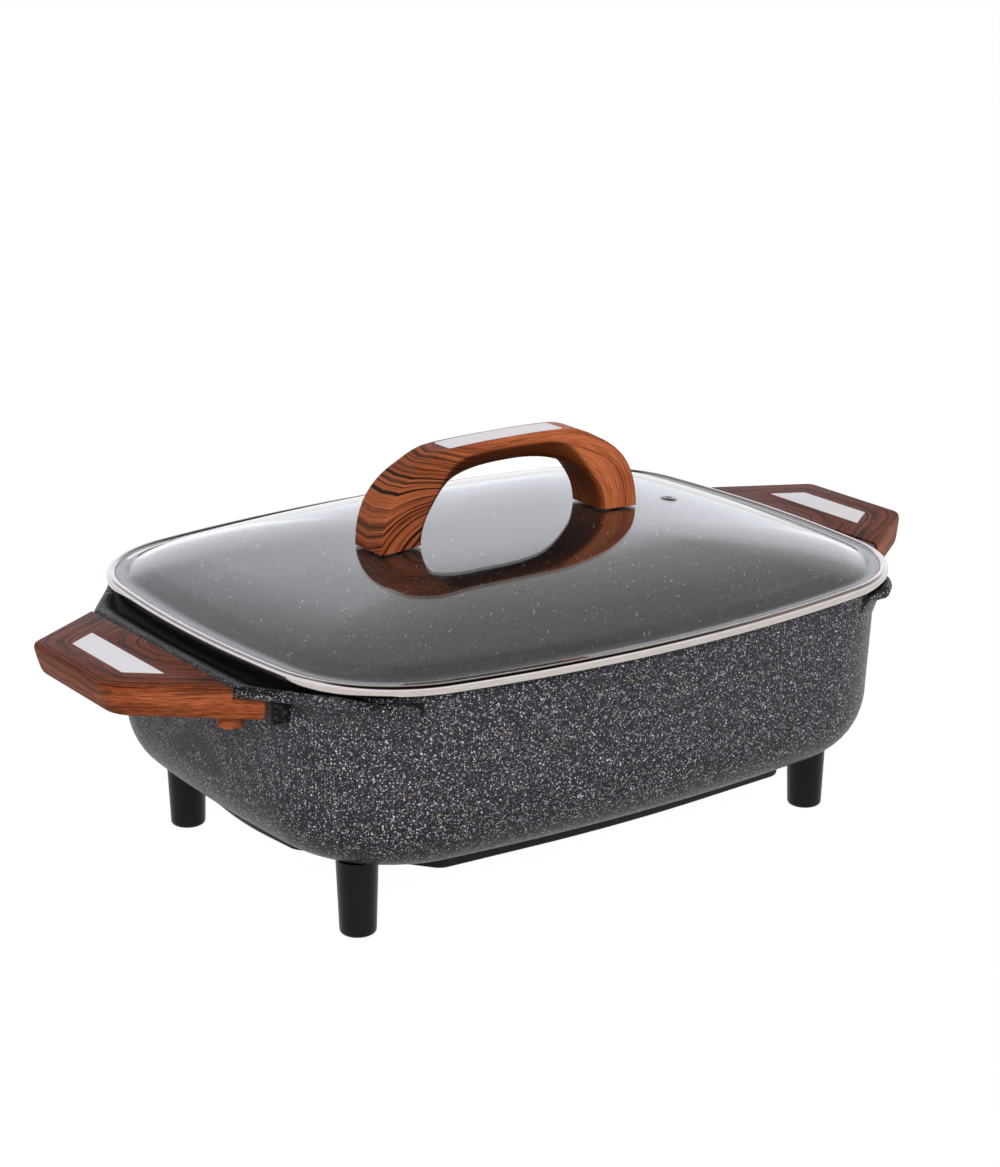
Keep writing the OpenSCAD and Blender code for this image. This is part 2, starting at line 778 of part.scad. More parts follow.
// The inlaid plate's form: a strip bent to the arch's crown, standing proud of it by a little.
// Its underside is lifted off the pocket's floor by a hair.
module grip_plate_form(take_in, proud, lift) {
    l = grip_plate_length / 2 - take_in;
    b = grip_plate_breadth / 2 - take_in;
    r = grip_plate_radius;
    intersection() {
        translate([-l, -b, grip_top - 10])
            cube([2 * l, 2 * b, 20]);
        translate([0, 0, grip_top - r])
            rotate([90, 0, 0])
                difference() {
                    cylinder(r = r + proud, h = 60, center = true, $fn = 256);
                    cylinder(r = r - plate_thickness + lift, h = 62, center = true, $fn = 256);
                }
    }
}

module lid_handle_plate() {
    color("#dcdadd") grip_plate_form(clearance, 0.1, glass_gap);
}

module lid_handle_gaskets() {
    color("#3c3c3c")
        for (i = [-1, 1])
            at_foot(i)
                difference() {
                    translate([0, 0, glass_gap])
                        cylinder(d = gasket_diameter, h = gasket_thickness - glass_gap);
                    translate([0, 0, -1])
                        cylinder(d = lid_screw_diameter + 2 * clearance, h = gasket_thickness + 2);
                }
}

module lid_handle_washers() {
    color("#c4c6c8")
        for (i = [-1, 1])
            at_foot(i)
                translate([0, 0, -glass_thickness - washer_thickness - glass_gap])
                    difference() {
                        cylinder(d = washer_diameter, h = washer_thickness);
                        translate([0, 0, -1])
                            cylinder(d = lid_screw_diameter + 2 * clearance, h = washer_thickness + 2);
                    }
}

module lid_handle_screws() {
    color("#b8bcc0")
        for (i = [-1, 1])
            at_foot(i)
                translate([0, 0, -glass_thickness - washer_thickness - glass_gap])
                    screw(lid_screw_diameter, glass_thickness + washer_thickness + lid_screw_reach);
}

module steam_vent() {
    low = -glass_thickness - vent_lip;
    bore = vent_bore / 2;
    tube = vent_tube / 2;
    edge = vent_flange / 2;
    color("#c4c6c8")
        at_vent()
            rotate_extrude()
                polygon([[bore, vent_lip], [bore, low], [edge - 0.6, low], [edge - 0.6, low + 0.75],
                    [tube, low + 0.75], [tube, 0.05], [edge, 0.05], [edge, 0.45], [edge - 0.8, vent_lip]]);
}

pan_body();
left_handle();
right_handle();
left_handle_plate();
right_handle_plate();
handle_screws();
front_left_leg();
front_right_leg();
rear_left_leg();
rear_right_leg();
leg_screws();
base_cover();
base_cover_screws();
heating_element();
element_insulators();
terminal_pins();
terminal_guard();
probe_sleeve();
lid_glass();
lid_rim();
lid_handle();
lid_handle_plate();
lid_handle_gaskets();
lid_handle_screws();
lid_handle_washers();
steam_vent();
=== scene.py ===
"""An electric skillet with a lift-off glass lid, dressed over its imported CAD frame.

Sizes in the classes are millimetres, as in the part's source. Meshes are made in metres, in the
frame's own axes: X from handle to handle, Y to the back, Z up from the table.
"""

import logging
import math
from dataclasses import dataclass, field
from enum import Enum
from functools import cache
from typing import Any, Callable, Sequence

import bmesh
import bpy
import numpy as np
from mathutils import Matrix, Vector

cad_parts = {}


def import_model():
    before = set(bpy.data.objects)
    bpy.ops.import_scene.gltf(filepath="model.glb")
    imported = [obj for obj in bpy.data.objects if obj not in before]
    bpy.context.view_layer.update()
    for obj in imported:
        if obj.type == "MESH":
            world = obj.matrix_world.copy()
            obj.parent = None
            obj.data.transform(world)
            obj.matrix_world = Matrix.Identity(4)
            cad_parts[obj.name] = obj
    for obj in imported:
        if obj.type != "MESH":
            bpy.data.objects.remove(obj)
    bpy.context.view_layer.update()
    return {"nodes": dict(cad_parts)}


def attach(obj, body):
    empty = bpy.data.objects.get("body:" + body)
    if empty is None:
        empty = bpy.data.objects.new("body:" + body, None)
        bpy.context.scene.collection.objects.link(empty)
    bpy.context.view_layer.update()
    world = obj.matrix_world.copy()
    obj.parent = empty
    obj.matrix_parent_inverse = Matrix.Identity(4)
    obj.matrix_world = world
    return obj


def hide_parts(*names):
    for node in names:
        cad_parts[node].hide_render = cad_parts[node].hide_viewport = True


LOG = logging.getLogger("skillet")
MM = 0.001
RIGHT_ANGLE = math.pi / 2
ENDS = ((-1, "left"), (1, "right"))

Points = np.ndarray
Span = tuple[float, float]
Place = tuple[float, float, float]
Colour = tuple[float, float, float, float]
Stops = tuple[tuple[float, str], ...]
Piece = bpy.types.Object
Tree = bpy.types.NodeTree
Node = bpy.types.Node
Socket = bpy.types.NodeSocket


class Body(str, Enum):
    """The CAD bodies that pieces ride on."""

    PAN = "pan"
    LID = "lid"


class Grain(Enum):
    """Where the wood film takes its grain's direction from."""

    SLAB_EDGES = "slab_edges"
    ARCH = "arch"


# ---------------------------------------------------------------------------
# Small tools


def srgb(code: str) -> Colour:
    """Turns an sRGB hex value into linear colour.

    Args:
        code: Six hex digits after a hash.

    Returns:
        Linear red, green, blue and an alpha of 1.
    """
    parts = [int(code[i : i + 2], 16) / 255 for i in (1, 3, 5)]
    linear = [c / 12.92 if c <= 0.04045 else ((c + 0.055) / 1.055) ** 2.4 for c in parts]
    return (linear[0], linear[1], linear[2], 1.0)


def add(
    tree: Tree,
    kind: str,
    inputs: dict[Any, Any] | None = None,
    stops: Stops = (),
    **settings: Any,
) -> Node:
    """Adds a node with its settings and links.

    Args:
        tree: The tree that gets the node.
        kind: The node's type name.
        inputs: Socket names or numbers, each with a value, the socket that feeds it, the node whose
            first output feeds it, or a list of those.
        stops: A colour ramp's positions and hex colours.
        **settings: The node's own properties.

    Returns:
        The new node.
    """
    node = tree.nodes.new(kind)
    for name, value in settings.items():
        setattr(node, name, value)
    for key, value in (inputs or {}).items():
        for feed in value if isinstance(value, list) else [value]:
            feed = feed.outputs[0] if isinstance(feed, Node) else feed
            if isinstance(feed, Socket):
                tree.links.new(feed, node.inputs[key])
            else:
                node.inputs[key].default_value = feed
    for i, (position, code) in enumerate(stops):
        elements = node.color_ramp.elements
        element = elements[i] if i < len(elements) else elements.new(position)
        element.position = position
        element.color = srgb(code)
    return node


def bare_tree(owner: Any) -> Tree:
    """The emptied node tree of a material or a world."""
    owner.use_nodes = True
    owner.node_tree.nodes.clear()
    return owner.node_tree


def smooth_step(low: float, high: float, value: Any) -> Any:
    """A soft step from 0 at low to 1 at high, of a number or of each of many."""
    t = np.clip((value - low) / (high - low), 0, 1)
    return t * t * (3 - 2 * t)


def linked(name: str, data: bpy.types.ID) -> Piece:
    """A new object in the scene for a mesh, a light or a camera."""
    made = bpy.data.objects.new(name, data)
    bpy.context.collection.objects.link(made)
    return made


def face_outward(mesh: bpy.types.Mesh) -> None:
    """Turns the faces of a closed mesh outward."""
    form = bmesh.new()
    form.from_mesh(mesh)
    bmesh.ops.recalc_face_normals(form, faces=form.faces)
    form.to_mesh(mesh)
    form.free()


def level(outline: Points, z: float) -> Points:
    """A flat outline lifted to a height."""
    return np.column_stack([outline, np.full(len(outline), z)])


def loft(name: str, rings: Sequence[Points], loop: bool = False) -> Piece:
    """A closed skin over rings with the same number of points.

    Args:
        name: The piece's name.
        rings: Rings of points, in millimetres.
        loop: Whether the last ring joins the first; if not, both are capped.

    Returns:
        The new object, its faces outward.
    """
    rows, columns = len(rings), len(rings[0])
    faces = []
    for i in range(rows if loop else rows - 1):
        up = (i + 1) % rows
        for j in range(columns):
            k = (j + 1) % columns
            faces.append([i * columns + j, i * columns + k, up * columns + k, up * columns + j])
    if not loop:
        faces.append(list(range(columns))[::-1])
        faces.append([(rows - 1) * columns + j for j in range(columns)])
    mesh = bpy.data.meshes.new(name)
    mesh.from_pydata((np.vstack(rings) * MM).tolist(), [], faces)
    face_outward(mesh)
    return linked(name, mesh)


def lathe(name: str, profile: Sequence[Span], steps: int = 48) -> Piece:
    """A turned piece about Z from a closed profile of radius and height.

    Args:
        name: The piece's name.
        profile: Radius and height of each corner, in millimetres, none on the axis.
        steps: Points round the axis.

    Returns:
        The new object.
    """
    turn = np.linspace(0, 2 * math.pi, steps, endpoint=False)
    circle = np.column_stack([np.cos(turn), np.sin(turn)])
    return loft(name, [level(r * circle, z) for r, z in profile], loop=True)


def trapezoid(near: float, near_half: float, far: float, far_half: float) -> Points:
    """The corners, anticlockwise, of a trapezoid that is even about X.

    Args:
        near: X of its first end.
        near_half: Half its width there.
        far: X of its other end.
        far_half: Half its width there.

    Returns:
        Its four corners.
    """
    return np.array([[near, -near_half], [far, -far_half], [far, far_half], [near, near_half]])


def inset(outline: Points, distance: float) -> Points:
    """An anticlockwise polygon with its sides taken in.

    Args:
        outline: The polygon's corners.
        distance: How far the sides move in.

    Returns:
        The new corners.
    """
    edge = np.roll(outline, -1, axis=0) - outline
    along = edge / np.linalg.norm(edge, axis=1)[:, None]
    inward = np.column_stack([-along[:, 1], along[:, 0]])
    before = np.roll(inward, 1, axis=0)
    return outline + (inward + before) * distance / (1 + (inward * before).sum(1))[:, None]


def rounded(outline: Points, radii: Sequence[float], steps: int) -> Points:
    """A convex anticlockwise polygon with rounded corners.

    Args:
        outline: The polygon's corners.
        radii: One radius for each corner.
        steps: Segments in each rounded corner.

    Returns:
        The points of the rounded outline.
    """
    points = []
    for i, corner in enumerate(outline):
        back = outline[i - 1] - corner
        ahead = outline[(i + 1) % len(outline)] - corner
        back = back / np.linalg.norm(back)
        ahead = ahead / np.linalg.norm(ahead)
        turn = math.pi - math.acos(float(np.clip(back @ ahead, -1, 1)))
        middle = back + ahead
        centre = corner + middle / np.linalg.norm(middle) * radii[i] / math.cos(turn / 2)
        start = math.atan2(back[0], -back[1])
        for k in range(steps + 1):
            angle = start + turn * k / steps
            points.append(centre + radii[i] * np.array([math.cos(angle), math.sin(angle)]))
    return np.array(points)


def soften(line: Points, times: int) -> Points:
    """Rounds the corners of an open line by cutting them, again and again."""
    for _ in range(times):
        early = 0.75 * line[:-1] + 0.25 * line[1:]
        late = 0.25 * line[:-1] + 0.75 * line[1:]
        cut = np.stack([early, late], axis=1).reshape(-1, line.shape[1])
        line = np.vstack([line[:1], cut, line[-1:]])
    return line


def settle(piece: Piece) -> None:
    """Turns a piece's modifiers into plain mesh."""
    graph = bpy.context.evaluated_depsgraph_get()
    mesh = bpy.data.meshes.new_from_object(piece.evaluated_get(graph))
    mesh.name = piece.name
    piece.modifiers.clear()
    piece.data = mesh


def cut_with(piece: Piece, tools: Sequence[Piece]) -> None:
    """Cuts a piece with tool shapes, which are then deleted.

    Args:
        piece: The piece that changes.
        tools: The shapes that cut it.
    """
    for tool in tools:
        step = piece.modifiers.new("cut", "BOOLEAN")
        step.operation = "DIFFERENCE"
        step.solver = "EXACT"
        step.object = tool
    settle(piece)
    for tool in tools:
        bpy.data.meshes.remove(tool.data)


def smooth(piece: Piece, sharp_over: float) -> Piece:
    """Shades a piece smoothly, with creases kept where its faces meet at more than an angle."""
    piece.data.shade_smooth()
    piece.data.set_sharp_from_angle(angle=math.radians(sharp_over))
    return piece


def join(name: str, pieces: Sequence[Piece]) -> Piece:
    """Joins several forms of one casting or moulding into one object.

    Args:
        name: The joined piece's name.
        pieces: The forms, which are used up.

    Returns:
        The joined object.
    """
    form = bmesh.new()
    for piece in pieces:
        form.from_mesh(piece.data)
    mesh = bpy.data.meshes.new(name)
    form.to_mesh(mesh)
    form.free()
    for piece in pieces:
        bpy.data.meshes.remove(piece.data)
    return linked(name, mesh)


def move(piece: Piece, place: Callable[[Points], Points]) -> Piece:
    """Puts a piece's place into its mesh.

    Args:
        piece: The piece.
        place: Gives new points, in metres, for the mesh's own.

    Returns:
        The same piece.
    """
    flat = np.empty(len(piece.data.vertices) * 3)
    piece.data.vertices.foreach_get("co", flat)
    piece.data.vertices.foreach_set("co", place(flat.reshape(-1, 3)).ravel())
    piece.data.update()
    return piece


def put(piece: Piece, at: Sequence[float], tilt: float = 0.0) -> Piece:
    """Tilts a piece about Y and shifts it.

    Args:
        piece: The piece.
        at: Where its origin goes, in millimetres.
        tilt: Degrees about Y.

    Returns:
        The same piece.
    """
    c, s = math.cos(math.radians(tilt)), math.sin(math.radians(tilt))
    turn = np.array([[c, 0, s], [0, 1, 0], [-s, 0, c]])
    return move(piece, lambda p: p @ turn.T + np.array(at) * MM)


def at_end(piece: Piece, end: int) -> Piece:
    """A piece made for the +X end, mirrored where end is -1."""
    if end < 0:
        move(piece, lambda p: p * [-1, 1, 1])
        piece.data.flip_normals()
    return piece


def carry(mesh: bpy.types.Mesh, name: str, values: Sequence[Any]) -> None:
    """Carries a number or a vector for each point on a mesh, for nodes to read.

    Args:
        mesh: The mesh.
        name: The attribute's name.
        values: A number, or three, for each point.
    """
    carried = np.asarray(values, dtype=np.float32)
    kind, key = ("FLOAT_VECTOR", "vector") if carried.ndim == 2 else ("FLOAT", "value")
    mesh.attributes.new(name, kind, "POINT").data.foreach_set(key, carried.ravel())


# ---------------------------------------------------------------------------
# Finishes


@dataclass(frozen=True)
class Finish:
    """A finish: a named material with a shader on its own sockets."""

    name: str

    @cache
    def material(self) -> bpy.types.Material:
        """The finish's material, made when it is first asked for."""
        made = bpy.data.materials.new(self.name)
        tree = bare_tree(made)
        where = add(tree, "ShaderNodeTexCoord").outputs["Object"]
        shader = add(tree, "ShaderNodeBsdfPrincipled", self.paint(tree, where))
        add(tree, "ShaderNodeOutputMaterial", {"Surface": shader})
        return made

    def paint(self, tree: Tree, where: Socket) -> dict[str, Any]:
        """Builds the finish's own nodes; each kind of finish has its own.

        Args:
            tree: The material's tree.
            where: The piece's own coordinates, in metres.

        Returns:
            A value, or what feeds it, for each socket of the shader that the finish sets.
        """
        raise NotImplementedError


@dataclass(frozen=True)
class FleckSize:
    """One size of fleck: its cell, how far it spreads in its cell and how many cells stay empty."""

    cell_mm: float
    spread: float
    empty: float


@dataclass(frozen=True)
class SpeckledNonstick(Finish):
    """Sprayed stone-look nonstick on cast aluminium: charcoal with pale and a few ochre flecks.

    Where the mesh carries a shade, painted shade darkens the ground first, and the flecks fade
    later.
    """

    name: str = "stone_look_nonstick_on_cast_aluminium"
    ground: Stops = ((0.36, "#232227"), (0.62, "#3a393f"))
    flecks: Stops = ((0.0, "#5a5a61"), (0.5, "#8f9098"), (0.93, "#e4e6ec"), (0.97, "#ad8a52"))
    # The near-black of the painted shade under the rim, at the stops and towards the foot.
    painted_shade: str = "#070607"
    sizes: tuple[FleckSize, ...] = (
        FleckSize(0.85, 0.62, 0.05),
        FleckSize(1.35, 0.5, 0.4),
        FleckSize(2.2, 0.36, 0.62),
    )
    fleck_edge: float = 0.16
    mottle_mm: float = 1.6
    # How deep into the painted shade the flecks fade out.
    bare: Span = (0.45, 0.9)
    roughness: float = 0.38
    spread: float = 0.08
    gloss: float = 0.12
    bump: float = 0.25
    bump_mm: float = 0.2

    def paint(self, tree: Tree, where: Socket) -> dict[str, Any]:
        """Lays the sizes of fleck over a mottled ground."""
        painted_shade = srgb(self.painted_shade)
        scale = 1 / (self.mottle_mm * MM)
        mottle = add(tree, "ShaderNodeTexNoise", {"Vector": where, "Scale": scale, "Detail": 3.0})
        ground = add(tree, "ShaderNodeValToRGB", {"Fac": mottle}, self.ground)
        # Painted shade: where the mesh carries a shade, the ground darkens towards near-black.
        shade = add(tree, "ShaderNodeAttribute", attribute_name="shade").outputs["Fac"]
        mixed = {0: shade, 6: ground, 7: painted_shade}
        colour = add(tree, "ShaderNodeMix", mixed, data_type="RGBA").outputs[2]
        for size in self.sizes:
            grid = {"Vector": where, "Scale": 1 / (size.cell_mm * MM), "Randomness": 1.0}
            cells = add(tree, "ShaderNodeTexVoronoi", grid)
            chance = add(tree, "ShaderNodeSeparateColor", {"Color": cells.outputs["Color"]})
            reach = {"Value": chance, "From Min": size.empty, "To Max": size.spread}
            wide = add(tree, "ShaderNodeMapRange", reach)
            inside = add(tree, "ShaderNodeMath", {0: wide, 1: cells}, operation="SUBTRACT")
            mask = add(tree, "ShaderNodeMapRange", {"Value": inside, "From Max": self.fleck_edge})
            fleck = add(tree, "ShaderNodeValToRGB", {"Fac": chance.outputs["Green"]}, self.flecks)
            mixed = {0: mask, 6: colour, 7: fleck}
            colour = add(tree, "ShaderNodeMix", mixed, data_type="RGBA").outputs[2]
        # Deep in the painted shade, the flecks fade out too.
        start, full = self.bare
        bare = {"Value": shade, "From Min": start, "From Max": full}
        mixed = {0: add(tree, "ShaderNodeMapRange", bare), 6: colour, 7: painted_shade}
        low, high = self.roughness - self.spread, self.roughness + self.spread
        rough = {"Value": mottle, "To Min": low, "To Max": high}
        bump = {"Height": mottle, "Strength": self.bump, "Distance": self.bump_mm * MM}
        return {
            "Base Color": add(tree, "ShaderNodeMix", mixed, data_type="RGBA").outputs[2],
            "Roughness": add(tree, "ShaderNodeMapRange", rough),
            "Specular IOR Level": self.gloss,
            "Normal": add(tree, "ShaderNodeBump", bump),
        }


@dataclass(frozen=True)
class WoodFilm(Finish):
    """Rosewood-grain film on moulded phenolic: satin, with dark lines on orange brown.

    Fibres, streaks and bands run along the grain: how long and how wide the marks of each are, in
    millimetres, and how much detail they have.
    """

    grain: Grain = Grain.SLAB_EDGES
    line: str = "#2a1711"
    browns: Stops = ((0.36, "#793e24"), (0.5, "#a65732"), (0.64, "#bf6c43"))
    fibre: Place = (12.0, 0.5, 4.0)
    streak: Place = (90.0, 1.9, 2.0)
    band: Place = (150.0, 9.0, 1.0)
    line_depth: Span = (0.45, 0.9)
    line_band: Span = (0.54, 0.68)
    ragged: float = 0.3
    fibre_share: float = 0.6
    swing: float = 2.0
    swing_mm: float = 55.0
    # The shade tint multiplies in painted shade: on the slab, full on the top and fading out down
    # the upper sides.
    shade: str = "#b0a4a2"
    shade_band: Span = (-8.5, 2.0)
    roughness: Span = (0.56, 0.42)
    gloss: float = 0.08
    bump: float = 0.2
    bump_mm: float = 0.2
    handle_x: float = 268.5
    outer_half: float = 40.0
    slant: Span = (0.551, 0.834)
    corner_blend: float = 14.0
    top: float = 143.0
    rise: float = 0.0419
    rise_from: float = 215.5

    def across_slab(self, tree: Tree, where: Socket) -> tuple:
        """Distance in from the slab's edges on its top, and down its sides.

        Args:
            tree: The material's tree.
            where: The piece's own coordinates.

        Returns:
            What gives the distance in millimetres, a place along the grain, how much painted shade
            the film takes and how dark its lines are.
        """
        in_mm = add(tree, "ShaderNodeVectorMath", {0: where, 3: 1 / MM}, operation="SCALE")
        part = add(tree, "ShaderNodeSeparateXYZ", {0: in_mm}).outputs
        x = add(tree, "ShaderNodeMath", {0: part["X"]}, operation="ABSOLUTE")
        y = add(tree, "ShaderNodeMath", {0: part["Y"]}, operation="ABSOLUTE")
        outer = add(tree, "ShaderNodeMath", {0: self.handle_x, 1: x}, operation="SUBTRACT")
        beside = add(tree, "ShaderNodeMath", {0: self.outer_half, 1: y}, operation="SUBTRACT")
        lean = add(tree, "ShaderNodeMath", {0: beside, 1: self.slant[1]}, operation="MULTIPLY")
        sloped = {0: outer, 1: self.slant[0], 2: lean}
        slanted = add(tree, "ShaderNodeMath", sloped, operation="MULTIPLY_ADD")
        sides = {0: outer, 1: slanted, 2: self.corner_blend}
        edge = add(tree, "ShaderNodeMath", sides, operation="SMOOTH_MIN")
        risen = {0: x, 1: self.rise, 2: self.top - self.rise * self.rise_from}
        surface = add(tree, "ShaderNodeMath", risen, operation="MULTIPLY_ADD")
        down = add(tree, "ShaderNodeMath", {0: part["Z"], 1: surface}, operation="SUBTRACT")
        across = add(tree, "ShaderNodeMath", {0: edge, 1: down}, operation="ADD")
        along = add(tree, "ShaderNodeMath", {0: x, 1: y}, operation="SUBTRACT")
        # Painted shade: full on the top, fading out down the upper 8.5 mm of the sides.
        low, high = self.shade_band
        on_top = {"Value": across, "From Min": low, "From Max": high}
        shaded = add(tree, "ShaderNodeMapRange", on_top)
        return across, along, shaded, shaded

    def across_arch(self, tree: Tree) -> tuple:
        """The grain's place and direction that the arch's mesh carries.

        Args:
            tree: The material's tree.

        Returns:
            What gives the distance across the grain and along it, in millimetres, the painted shade
            that the film takes and how dark its lines are.
        """
        carried = add(tree, "ShaderNodeAttribute", attribute_name="grain")
        part = add(tree, "ShaderNodeSeparateXYZ", {0: carried.outputs["Vector"]}).outputs
        under = add(tree, "ShaderNodeAttribute", attribute_name="shade")
        return part["Y"], part["X"], under.outputs["Fac"], part["Z"]

    def paint(self, tree: Tree, where: Socket) -> dict[str, Any]:
        """Draws broad bands, ragged dark lines and short fibres along the grain."""
        if self.grain is Grain.SLAB_EDGES:
            across, along, shaded, deep = self.across_slab(tree, where)
        else:
            across, along, shaded, deep = self.across_arch(tree)
        depths = {"Value": deep, "To Min": self.line_depth[0], "To Max": self.line_depth[1]}
        depth = add(tree, "ShaderNodeMapRange", depths)
        slow = {"Vector": where, "Scale": 1 / (self.swing_mm * MM), "Detail": 1.0, "Roughness": 0.4}
        wander = add(tree, "ShaderNodeTexNoise", slow)
        swings = {"Value": wander, "To Min": -self.swing, "To Max": self.swing}
        swing = add(tree, "ShaderNodeMapRange", swings)
        line = add(tree, "ShaderNodeMath", {0: across, 1: swing}, operation="ADD")
        marks = []
        for long, wide, detail in (self.fibre, self.streak, self.band):
            run = add(tree, "ShaderNodeMath", {0: along, 1: 1 / long}, operation="MULTIPLY")
            rise = add(tree, "ShaderNodeMath", {0: line, 1: 1 / wide}, operation="MULTIPLY")
            at = add(tree, "ShaderNodeCombineXYZ", {0: run, 1: rise})
            mark = {"Vector": at, "Scale": 1.0, "Detail": detail, "Roughness": 0.6}
            marks.append(add(tree, "ShaderNodeTexNoise", mark, noise_dimensions="2D"))
        fibre, streak, band = marks
        tones = {0: self.fibre_share, 2: band, 3: fibre}
        tone = add(tree, "ShaderNodeMix", tones, data_type="FLOAT")
        colour = add(tree, "ShaderNodeValToRGB", {"Fac": tone}, self.browns)
        torn = {0: fibre, 1: self.ragged, 2: streak}
        ragged = add(tree, "ShaderNodeMath", torn, operation="MULTIPLY_ADD")
        low, high = self.line_band
        lines = {"Value": ragged, "From Min": low, "From Max": high, "To Min": 1.0, "To Max": 0.0}
        lined = add(tree, "ShaderNodeMapRange", lines)
        share = add(tree, "ShaderNodeMath", {0: lined, 1: depth}, operation="MULTIPLY")
        # The lines are mixed in, then the shade tint multiplies in the painted shade.
        for much, tint, blend in ((share, self.line, "MIX"), (shaded, self.shade, "MULTIPLY")):
            mixed = {0: much, 6: colour, 7: srgb(tint)}
            mix = add(tree, "ShaderNodeMix", mixed, data_type="RGBA", blend_type=blend)
            colour = mix.outputs[2]
        rough = {"Value": tone, "To Min": self.roughness[0], "To Max": self.roughness[1]}
        bump = {"Height": fibre, "Strength": self.bump, "Distance": self.bump_mm * MM}
        return {
            "Base Color": colour,
            "Roughness": add(tree, "ShaderNodeMapRange", rough),
            "Specular IOR Level": self.gloss,
            "Normal": add(tree, "ShaderNodeBump", bump),
        }


@dataclass(frozen=True)
class Metal(Finish):
    """A bare or plated metal, with fine streaks or mottle in its gloss."""

    colour: str
    worn: str
    roughness: float
    spread: float
    streak_mm: Place
    metallic: float = 1.0

    def paint(self, tree: Tree, where: Socket) -> dict[str, Any]:
        """Varies colour and gloss along fine streaks."""
        scale = tuple(1 / (s * MM) for s in self.streak_mm)
        fine = add(tree, "ShaderNodeMapping", {"Vector": where, "Scale": scale})
        streak = add(tree, "ShaderNodeTexNoise", {"Vector": fine, "Scale": 1.0, "Detail": 3.0})
        greys = [(0.3, self.worn), (0.7, self.colour)]
        low, high = self.roughness - self.spread, self.roughness + self.spread
        rough = {"Value": streak, "To Min": low, "To Max": high}
        return {
            "Base Color": add(tree, "ShaderNodeValToRGB", {"Fac": streak}, greys),
            "Metallic": self.metallic,
            "Roughness": add(tree, "ShaderNodeMapRange", rough),
        }


@dataclass(frozen=True)
class Moulded(Finish):
    """A moulded or fired piece: an even colour with a fine surface texture."""

    colour: str
    worn: str
    roughness: float
    texture_mm: float
    gloss: float = 0.16
    cloud_mm: float = 12.0
    spread: Span = (-0.05, 0.07)
    bump: float = 0.12
    bump_mm: float = 0.1

    def paint(self, tree: Tree, where: Socket) -> dict[str, Any]:
        """Adds a faint mottle and a fine bump."""
        fine, cloud = (
            add(tree, "ShaderNodeTexNoise", {"Vector": where, "Scale": 1 / (s * MM), "Detail": d})
            for s, d in ((self.texture_mm, 3.0), (self.cloud_mm, 2.0))
        )
        tones = [(0.35, self.colour), (0.7, self.worn)]
        low, high = (self.roughness + s for s in self.spread)
        rough = {"Value": fine, "To Min": low, "To Max": high}
        bump = {"Height": fine, "Strength": self.bump, "Distance": self.bump_mm * MM}
        return {
            "Base Color": add(tree, "ShaderNodeValToRGB", {"Fac": cloud}, tones),
            "Roughness": add(tree, "ShaderNodeMapRange", rough),
            "Specular IOR Level": self.gloss,
            "Normal": add(tree, "ShaderNodeBump", bump),
        }


@dataclass(frozen=True)
class TemperedGlass(Finish):
    """Clear tempered soda-lime glass, pressed and fire-polished."""

    name: str = "tempered_soda_lime_glass"
    colour: str = "#f4f8f8"
    ior: float = 1.5
    breath_mm: float = 50.0
    roughness: float = 0.008

    def paint(self, tree: Tree, where: Socket) -> dict[str, Any]:
        """Sets a clear glass with a very faint unevenness in its gloss."""
        scale = 1 / (self.breath_mm * MM)
        breath = add(tree, "ShaderNodeTexNoise", {"Vector": where, "Scale": scale, "Detail": 1.0})
        rough = {"Value": breath, "To Min": 0.0, "To Max": self.roughness}
        return {
            "Base Color": srgb(self.colour),
            "Transmission Weight": 1.0,
            "IOR": self.ior,
            "Roughness": add(tree, "ShaderNodeMapRange", rough),
        }


# ---------------------------------------------------------------------------
# Sub-assemblies


def fit(piece: Piece, body: Body, slot: str, finish: Finish, *nodes: str) -> None:
    """Gives a piece its finish, its body and the CAD nodes that it stands for.

    Args:
        piece: The finished piece.
        body: The body that it moves with.
        slot: The record's material slot; not used.
        finish: Its finish, unless it already has materials.
        *nodes: The CAD nodes that it replaces.
    """
    if not piece.data.materials:
        piece.data.materials.append(finish.material())
    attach(piece, body.value)
    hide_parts(*nodes)
    LOG.info("%s stands for %s", piece.name, ", ".join(nodes))


@dataclass(frozen=True)
class Outline:
    """A rounded rectangle with bowed sides: half its length and width, and its radii."""

    half_length: float
    half_width: float
    side: float
    end: float
    corner: float
    steps: tuple[int, int, int] = (16, 28, 20)

    def at(self, take_in: float = 0.0) -> Points:
        """The outline, taken in by an offset.

        Args:
            take_in: The offset.

        Returns:
            Its points, anticlockwise from +X, the same number for every outline.
        """
        half_width, side = self.half_width - take_in, self.side - take_in
        end, corner = self.end - take_in, self.corner - take_in
        s = np.array([0.0, half_width - side])
        e = np.array([self.half_length - take_in - end, 0.0])
        apart = float(np.linalg.norm(e - s))
        u = (e - s) / apart
        m = ((side - corner) ** 2 - (end - corner) ** 2 + apart**2) / (2 * apart)
        h = math.sqrt((side - corner) ** 2 - m**2)
        c = s + u * m + np.array([u[1], -u[0]]) * h
        to_end = math.atan2(c[1], c[0] - e[0])
        to_side = math.atan2(c[1] - s[1], c[0])
        turns = ((0.0, to_end), (to_end, to_side), (to_side, RIGHT_ANGLE))
        arcs = []
        for middle, radius, turn, steps in zip((e, c, s), (end, corner, side), turns, self.steps):
            t = np.linspace(*turn, steps + 1)[:-1]
            arcs.append(middle + radius * np.column_stack([np.cos(t), np.sin(t)]))
        quarter = np.vstack(arcs + [np.array([[0.0, half_width]])])
        left = quarter[:-1][::-1] * [-1, 1]
        return np.vstack([quarter, left, -quarter[1:], (quarter * [1, -1])[1:-1][::-1]])


